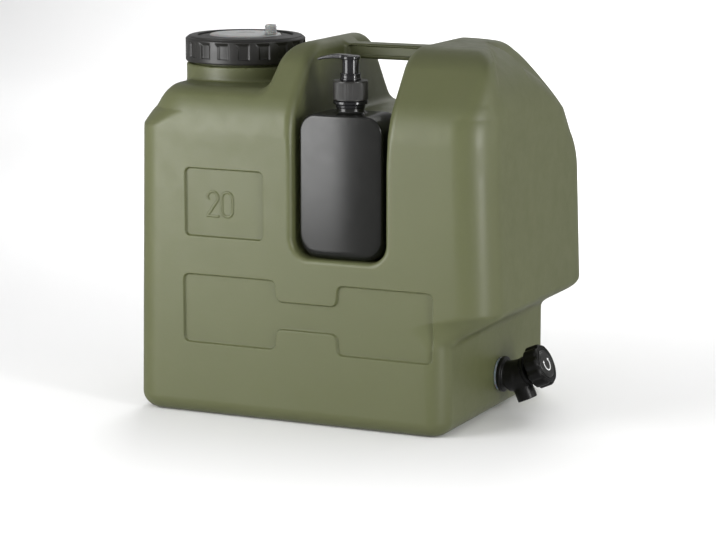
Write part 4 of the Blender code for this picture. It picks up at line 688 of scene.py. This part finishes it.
def make_tap(black, grey, silicone, white):
    """The tap: valve body, washer, bonnet, scalloped knob and its cover."""
    net_piece("tap_shell", tap_field, (132.0, -13.0, 8.0), (193.0, 23.0, 57.0), 0.7, black,
              "tank", "tap_body")
    turned_piece("outer_washer_shell", [
        (9.8, 154.3, 0.3), (15.0, 154.3, 0.5), (15.2, 155.3, 0.5), (15.0, 156.3, 0.5),
        (9.8, 156.3, 0.3)], 72, (0.0, TAP_AXIS_Y, TAP_HOLE_Z), (1.0, 0.0, 0.0), silicone,
        "tank", "tap_outer_washer")
    turned_piece("bonnet_shell", [
        (5.2, 4.8, 0.2), (7.7, 4.8, 0.4), (7.7, 8.8, 0.1), (13.5, 8.8, 0.5), (13.5, 11.8, 0.7),
        (6.2, 11.8, 0.6), (5.4, 13.0, 0.6), (3.3, 13.0, 0.2), (3.3, 6.9, 0.1), (5.2, 6.9, 0.1)],
        72, TAP_CENTRE, TAP_AXIS, black, "tank", "tap_bonnet")
    face = KNOB_HIGH
    turned_piece("knob_shell", [
        (18.5, KNOB_LOW, 0.5), (KNOB_RADIUS, KNOB_LOW + 1, 0.8), (KNOB_RADIUS, 22.0, 0),
        (KNOB_RADIUS, face - 2.2, 1.0), (18.2, face - 0.3, 0.9), (16.9, face, 0.3),
        (16.5, face - 0.7, 0.2), (16.0, face - 0.7, 0.2), (15.6, face - 0.1, 0.2),
        (14.2, face - 0.1, 0.2), (13.9, face - 1.1, 0.1), (3.5, face - 1.1, 0.1),
        (3.5, face - 3.7, 0.1), (1.8, face - 3.7, 0.1), (1.8, 23.6, 0.1), (3.3, 23.6, 0.1),
        (3.3, KNOB_LOW, 0.1), (6.0, KNOB_LOW, 0.3), (6.0, 25.3, 0.5), (15.9, 25.3, 0.8),
        (15.9, KNOB_LOW, 0.3)], 300, TAP_CENTRE, TAP_AXIS, black, "spindle", "tap_knob",
        scallop)
    low = face - 0.8
    turned_piece("knob_cover_shell", [
        (0, low, 0), (13.5, low, 0.2), (13.5, low + 0.8, 0.5), (12.6, low + 1.25, 0.4),
        (12.0, low + 0.9, 0.2), (11.4, low + 0.9, 0.2), (10.9, low + 1.3, 0.3),
        (0, low + 1.5, 0)], 96, TAP_CENTRE, TAP_AXIS, grey, "spindle", "knob_cover")
    points, faces = arc_strip(low + 1.2, low + 1.6)
    new_piece("turning_arc", place(points, TAP_CENTRE, TAP_AXIS), faces, white, "spindle", None)


# Soap bottle and pump


def bottle_field(x, y, z):
    """Bottle: bulging front, eased edges, a round neck, and a well down its middle."""
    dx = x - BOTTLE[0]
    bulge = dx / FACE_BULGE
    front = BOTTLE_FRONT + FACE_BULGE - np.sqrt(FACE_BULGE ** 2 - dx ** 2) - y
    front = front * np.sqrt(np.maximum(1 - bulge ** 2, 0.1))
    middle = (BOTTLE_LOW + BOTTLE_HIGH) / 2
    side = np.abs(dx) - BOTTLE_HALF
    face = round_max(side, np.abs(z - middle) - (BOTTLE_HIGH - middle), FACE_CORNER)
    body = round_max(face, front, FRONT_EDGE + FOOT_EDGE * ease((FOOT_HIGH - z) / FOOT_FADE))
    body = round_max(body, y - BOTTLE_BACK, BACK_EDGE)
    off = np.hypot(dx, y - BOTTLE[1])
    neck = np.maximum(off - BOTTLE_NECK, np.maximum(z - NECK_JOIN[1], NECK_JOIN[0] - z))
    well = np.maximum(off - BOTTLE_BORE, BOTTLE_LOW + BOTTLE_FLOOR - z)
    return np.maximum(round_min(body, neck, NECK_BLEND), -well)


def knurl(radius, angles, z):
    """Fine upright ribs round the collar."""
    if radius < PUMP_COLLAR_RADIUS - 0.1 or z > COLLAR_HIGH - 1.6 or z < COLLAR_LOW + 1.2:
        return np.full(len(angles), radius)
    return radius - KNURL_DEPTH * (1 - np.cos(KNURLS * angles)) / 2


def head_field(x, y, z):
    """The head's flat crown and the beak, which arches and droops towards its tip."""
    dx, dy = x - BOTTLE[0], y - BOTTLE[1]
    run = -(dx * math.cos(BEAK_TURN) + dy * math.sin(BEAK_TURN))
    off = np.abs(-dx * math.sin(BEAK_TURN) + dy * math.cos(BEAK_TURN))
    crown = bar_field(z, np.hypot(dx, dy), CROWN_RADIUS, HEAD_LOW - 0.3, HEAD_TOP - 0.1, 1.1)
    share = np.clip(run / BEAK_REACH, 0.0, 1.0)
    arch = np.sin(math.pi * share)
    middle = HEAD_TOP - BEAK_HALF + BEAK_ARCH * arch - BEAK_DROOP * share ** 2
    half = BEAK_HALF + BEAK_SWELL * arch - BEAK_THIN * share
    width = BEAK_WIDTH - BEAK_TAPER * share
    beak = round_max(np.maximum(off - width, np.maximum(-run, run - BEAK_REACH)),
                     np.abs(z - middle) - half, 0.9)
    return round_min(crown, beak, 1.5)


def make_spring(material):
    """The pump's return spring: a drawn wire coil."""
    low, high = SPRING_ENDS
    sides, start = WIRE_SIDES, low + SPRING_WIRE + SPRING_SEAT
    rise = high - low - 2 * SPRING_WIRE - 2 * SPRING_SEAT
    points, faces = [], []
    count = SPRING_TURNS * SPRING_STEPS
    for i in range(count + 1):
        angle = 2 * math.pi * SPRING_TURNS * i / count
        z = start + rise * i / count
        for j in range(sides):
            turn = 2 * math.pi * j / sides
            r = SPRING_RADIUS + SPRING_WIRE * math.cos(turn)
            points.append((BOTTLE[0] + r * math.cos(angle), BOTTLE[1] + r * math.sin(angle),
                           z + SPRING_WIRE * math.sin(turn)))
    for i in range(count):
        for j in range(sides):
            here, k = sides * i, (j + 1) % sides
            faces.append((here + j, here + sides + j, here + sides + k, here + k))
    faces += [tuple(range(sides - 1, -1, -1)), tuple(range(sides * count, sides * count + sides))]
    coil = new_piece("spring_coil", points, faces, material, "pump", "pump_spring")
    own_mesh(coil)


def make_bottle(satin, gloss, black):
    """Soap bottle with its threaded neck ring, collar, chaplet, head and shroud."""
    centre = (*BOTTLE, 0.0)
    net_piece("bottle_shell", bottle_field, (9.0, -123.0, 149.0), (95.0, -68.5, 292.5), 1.3,
              satin, "bottle", "soap_bottle")
    outline = [(BOTTLE_BORE, 284.0, 0.1), (12.9, 284.0, 0.8), (13.1, 287.4, 0.6),
               (15.3, 287.8, 0.5), (15.3, 290.4, 0.6), (BOTTLE_NECK, 290.6, 0.2)]
    outline += [(BOTTLE_NECK, z, 0) for z in np.arange(291.4, NECK_TOP_Z - 1, 0.35)]
    outline += [(BOTTLE_NECK, NECK_TOP_Z, 0.4), (BOTTLE_BORE, NECK_TOP_Z, 0.2)]
    turned_piece("neck_ring", outline, 120, centre, UP, gloss, "bottle", None,
                 threaded(BOTTLE_NECK, BOTTLE_THREAD_DEPTH, BOTTLE_PITCH, BOTTLE_TURNS,
                          BOTTLE_THREAD))
    bore = PUMP_COLLAR_BORE
    turned_piece("collar_shell", [
        (bore, COLLAR_LOW, 0.2), (PUMP_COLLAR_RADIUS - 0.1, COLLAR_LOW, 0.4),
        (PUMP_COLLAR_RADIUS, COLLAR_LOW + 1.0, 0), (PUMP_COLLAR_RADIUS, COLLAR_LOW + 1.3, 0),
        (PUMP_COLLAR_RADIUS, COLLAR_HIGH - 1.7, 0), (PUMP_COLLAR_RADIUS, COLLAR_HIGH - 1.5, 0),
        (PUMP_COLLAR_RADIUS, COLLAR_HIGH, 1.0), (9.3, COLLAR_HIGH, 0.2),
        (9.3, COLLAR_HIGH - 3, 0.2), (bore, COLLAR_HIGH - 3, 0.2)],
        512, centre, UP, black, "collar", "pump_collar", knurl)
    turned_piece("chaplet_shell", [
        (3.5, CHAPLET_LOW, 0.1), (9.0, CHAPLET_LOW, 0.3), (9.0, COLLAR_HIGH + 0.3, 0.1),
        (9.3, COLLAR_HIGH + 0.3, 0.3), (9.3, COLLAR_HIGH + 1.6, 0.5),
        (8.9, COLLAR_HIGH + 2.2, 0.4), (8.9, CHAPLET_TOP - 1.4, 0.4),
        (9.3, CHAPLET_TOP - 0.9, 0.4), (9.1, CHAPLET_TOP, 0.5), (7.8, CHAPLET_TOP, 0.3),
        (7.8, CHAPLET_LOW + 1.5, 0.2), (3.5, CHAPLET_LOW + 1.5, 0.2)],
        96, centre, UP, gloss, "pump", "pump_chaplet")
    net_piece("head_shell", head_field, (18.0, -110.0, 320.0), (64.0, -82.0, 332.5), 0.45,
              gloss, "head", "pump_head")
    turned_piece("shroud_shell", [
        (6.2, SHROUD_LOW, 0.2), (7.4, SHROUD_LOW, 0.3), (7.4, HEAD_LOW + 0.6, 0),
        (3.5, HEAD_LOW + 0.6, 0), (3.5, HEAD_LOW - 1, 0.1), (6.2, HEAD_LOW - 1, 0.2)],
        72, centre, UP, gloss, "head", None)


# Materials


class Shader:
    """Small helper that builds one Principled material out of nodes."""

    def __init__(self, name, colour, roughness, **sockets):
        self.material = bpy.data.materials.new(name)
        self.material.use_nodes = True
        self.tree = self.material.node_tree
        self.surface = self.tree.nodes["Principled BSDF"]
        self.surface.inputs["Base Color"].default_value = (*colour, 1.0)
        self.surface.inputs["Roughness"].default_value = roughness
        self.material.diffuse_color = (*colour, 1.0)
        for socket, value in sockets.items():
            self.surface.inputs[socket.replace("_", " ")].default_value = value
        self.colour = (*colour, 1.0)
        self.place = self.tree.nodes.new("ShaderNodeTexCoord").outputs["Object"]
        self.bump_end = None

    def link(self, output, target):
        """Join an output to a socket."""
        self.tree.links.new(output, target)

    def node(self, kind, **inputs):
        """Add a node and set its inputs."""
        made = self.tree.nodes.new(kind)
        for socket, value in inputs.items():
            made.inputs[socket.replace("_", " ")].default_value = value
        return made

    def stretch(self, scale):
        """Object coordinates stretched along an axis, for drawn or brushed marks."""
        mapping = self.node("ShaderNodeMapping", Scale=scale)
        self.link(self.place, mapping.inputs["Vector"])
        return mapping.outputs["Vector"]

    def noise(self, scale, detail=3.0, roughness=0.5, place=None):
        """Noise over the object's own coordinates, in cycles per metre."""
        made = self.node("ShaderNodeTexNoise", Scale=scale, Detail=detail, Roughness=roughness)
        self.link(place or self.place, made.inputs["Vector"])
        return made.outputs["Fac"]

    def ramp(self, source, low, high, start, end):
        """Map a value's range onto two ends."""
        made = self.node("ShaderNodeMapRange")
        made.inputs["From Min"].default_value = low
        made.inputs["From Max"].default_value = high
        made.inputs["To Min"].default_value = start
        made.inputs["To Max"].default_value = end
        self.link(source, made.inputs["Value"])
        return made.outputs["Result"]

    def tint(self, source, other, current=None):
        """Mix a second colour in by a value."""
        made = self.tree.nodes.new("ShaderNodeMix")
        made.data_type = "RGBA"
        made.inputs["A"].default_value = self.colour
        made.inputs["B"].default_value = (*other, 1.0)
        if current:
            self.link(current, made.inputs["A"])
        self.link(source, made.inputs["Factor"])
        self.link(made.outputs["Result"], self.surface.inputs["Base Color"])
        return made.outputs["Result"]

    def bump(self, source, height, strength=1.0):
        """Add relief of a height in metres."""
        made = self.node("ShaderNodeBump", Strength=strength, Distance=height)
        self.link(source, made.inputs["Height"])
        if self.bump_end:
            self.link(self.bump_end, made.inputs["Normal"])
        self.bump_end = made.outputs["Normal"]
        self.link(self.bump_end, self.surface.inputs["Normal"])

    def gloss(self, source):
        """Drive the roughness."""
        self.link(source, self.surface.inputs["Roughness"])


def tank_material():
    """Olive polyethylene: soft sheen, fine mould grain, faint waves and pale flecks."""
    shader = Shader("olive_polyethylene", (0.092, 0.1, 0.043), 0.4, Specular_IOR_Level=0.45)
    cloud = shader.noise(9.0, 2.0)
    current = shader.tint(shader.ramp(cloud, 0.35, 0.75, 0.0, 0.5), (0.083, 0.09, 0.038))
    fleck = shader.noise(420.0, 3.0, 0.6)
    shader.tint(shader.ramp(fleck, 0.62, 0.8, 0.0, 0.35), (0.125, 0.133, 0.065), current)
    shader.gloss(shader.ramp(shader.noise(55.0, 4.0, 0.6), 0.3, 0.7, 0.36, 0.48))
    shader.bump(shader.noise(14.0, 1.0), 0.0005, 0.3)
    shader.bump(shader.noise(260.0, 2.0, 0.5), 0.00012, 0.5)
    shader.bump(shader.noise(1400.0, 2.0, 0.6), 0.00004, 0.6)
    return shader.material


def plastic_material(name, colour, roughness, grain=1600.0, depth=0.00003, specular=0.5):
    """Moulded plastic: fine grain, slight sheen changes and pale flecks."""
    shader = Shader(name, colour, roughness, Specular_IOR_Level=specular)
    lighter = tuple(min(1.0, c * 1.8 + 0.004) for c in colour)
    shader.tint(shader.ramp(shader.noise(700.0, 3.0, 0.7), 0.62, 0.85, 0.0, 0.3), lighter)
    shader.gloss(shader.ramp(shader.noise(90.0, 4.0, 0.65), 0.3, 0.7,
                             roughness * 0.88, roughness * 1.14))
    shader.bump(shader.noise(grain, 2.0, 0.6), depth, 0.6)
    return shader.material


def pale_material(name, colour, roughness, cloudy):
    """Milky translucent plastic or silicone."""
    shader = Shader(name, colour, roughness, Subsurface_Weight=0.25, Subsurface_Scale=0.004,
                    Transmission_Weight=cloudy, IOR=1.5)
    darker = tuple(c * 0.9 for c in colour)
    shader.tint(shader.ramp(shader.noise(160.0, 3.0), 0.35, 0.7, 0.0, 0.5), darker)
    shader.gloss(shader.ramp(shader.noise(120.0, 3.0), 0.3, 0.7, roughness * 0.85,
                             roughness * 1.2))
    shader.bump(shader.noise(900.0, 2.0), 0.00003, 0.5)
    return shader.material


def rubber_material(name, colour):
    """Dull moulded rubber with a dusting of bloom."""
    shader = Shader(name, colour, 0.75, Specular_IOR_Level=0.35)
    lighter = tuple(c * 1.6 + 0.01 for c in colour)
    shader.tint(shader.ramp(shader.noise(300.0, 4.0, 0.7), 0.5, 0.8, 0.0, 0.4), lighter)
    shader.gloss(shader.ramp(shader.noise(200.0, 3.0), 0.3, 0.7, 0.68, 0.84))
    shader.bump(shader.noise(1200.0, 3.0), 0.00004, 0.6)
    return shader.material


def steel_material(name):
    """Drawn stainless wire or a turned screw, with fine lines."""
    shader = Shader(name, (0.58, 0.59, 0.6), 0.28, Metallic=1.0)
    lines = shader.noise(300.0, 4.0, 0.6, shader.stretch((1.0, 1.0, 12.0)))
    shader.tint(shader.ramp(lines, 0.3, 0.7, 0.0, 0.6), (0.44, 0.45, 0.46))
    shader.gloss(shader.ramp(lines, 0.3, 0.7, 0.2, 0.38))
    shader.bump(lines, 0.00001, 0.4)
    return shader.material


# Stage


def make_stage():
    """Pale floor that sweeps up behind, soft lights and the camera."""
    floor = bpy.data.meshes.new("studio_floor")
    sweep = [(FLOOR_FRONT, 0.0), (FLOOR_BACK, 0.0)]
    sweep += [(FLOOR_BACK + SWEEP * math.sin(a), SWEEP - SWEEP * math.cos(a))
              for a in np.linspace(0, math.pi / 2, 10)[1:]]
    sweep.append((FLOOR_BACK + SWEEP, BACKDROP_HEIGHT))
    points = [(x, y, z) for y, z in sweep for x in (-FLOOR_HALF, FLOOR_HALF)]
    faces = [(2 * i, 2 * i + 1, 2 * i + 3, 2 * i + 2) for i in range(len(sweep) - 1)]
    floor.from_pydata(points, [], faces)
    floor.shade_smooth()
    shader = Shader("pale_floor", (0.86, 0.86, 0.86), 0.6)
    shader.tint(shader.ramp(shader.noise(3.0, 2.0), 0.3, 0.7, 0.0, 0.4), (0.84, 0.84, 0.845))
    floor.materials.append(shader.material)
    stage = bpy.data.objects.new("studio_floor", floor)
    bpy.context.scene.collection.objects.link(stage)
    stage.visible_glossy = False
    world = bpy.data.worlds.new("studio")
    world.use_nodes = True
    background = world.node_tree.nodes["Background"].inputs
    background["Color"].default_value = (1.0, 1.0, 1.0, 1.0)
    background["Strength"].default_value = WORLD_STRENGTH
    scene = bpy.context.scene
    scene.world = world
    scene.view_settings.view_transform = "Standard"
    for name, spot, size, power, target, spread in LAMPS:
        light = bpy.data.lights.new(name, "AREA")
        light.energy = power
        light.shape = "RECTANGLE"
        light.size, light.size_y = size
        light.spread = spread * DEG
        lamp = bpy.data.objects.new(name, light)
        lamp.location = spot
        lamp.visible_glossy = name != "rear"
        lamp.rotation_euler = (Vector(target) - Vector(spot)).to_track_quat("-Z", "Y").to_euler()
        scene.collection.objects.link(lamp)
    camera = bpy.data.cameras.new("photo_view")
    camera.lens = CAMERA_LENS
    camera.sensor_width = 36.0
    viewer = bpy.data.objects.new("photo_view", camera)
    viewer.location = CAMERA_PLACE
    viewer.rotation_euler = CAMERA_TURN
    scene.collection.objects.link(viewer)
    scene.camera = viewer


def dress(node, material):
    """Give a carried-over node a finished material."""
    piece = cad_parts[node]
    for slot in piece.material_slots:
        slot.material = material


def main():
    """Build and dress everything."""
    make_stage()
    olive = tank_material()
    black = plastic_material("black_plastic", (0.0125, 0.012, 0.0105), 0.4)
    tap_black = plastic_material("tap_black", (0.005, 0.005, 0.0045), 0.36, specular=0.25)
    gloss = plastic_material("black_gloss", (0.008, 0.008, 0.009), 0.16, 2400.0, 0.00001)
    grey = plastic_material("dark_grey_plastic", (0.008, 0.0082, 0.0072), 0.22, specular=0.42)
    pale = pale_material("milky_plastic", (0.37, 0.38, 0.375), 0.35, 0.15)
    silicone = pale_material("clear_silicone", (0.6, 0.68, 0.76), 0.3, 0.4)
    rubber = rubber_material("dark_rubber", (0.045, 0.045, 0.047))
    steel = steel_material("steel")
    white = plastic_material("white_mark", (0.8, 0.8, 0.8), 0.5)
    make_tank(olive)
    make_neck(olive)
    make_cap(black, pale)
    make_tap(tap_black, grey, silicone, white)
    make_bottle(grey, gloss, black)
    make_spring(steel)
    for names, material in (
            (("tap_lock_nut", "valve_stem"), black),
            (("nozzle_washer", "cap_gasket", "tap_inner_washer", "valve_seal", "stem_o_ring",
              "pump_gasket"), rubber),
            (("pump_housing", "dip_tube", "pump_stem", "pump_piston"), pale),
            (("knob_screw", "pump_ball"), steel)):
        for name in names:
            dress(name, material)


main()
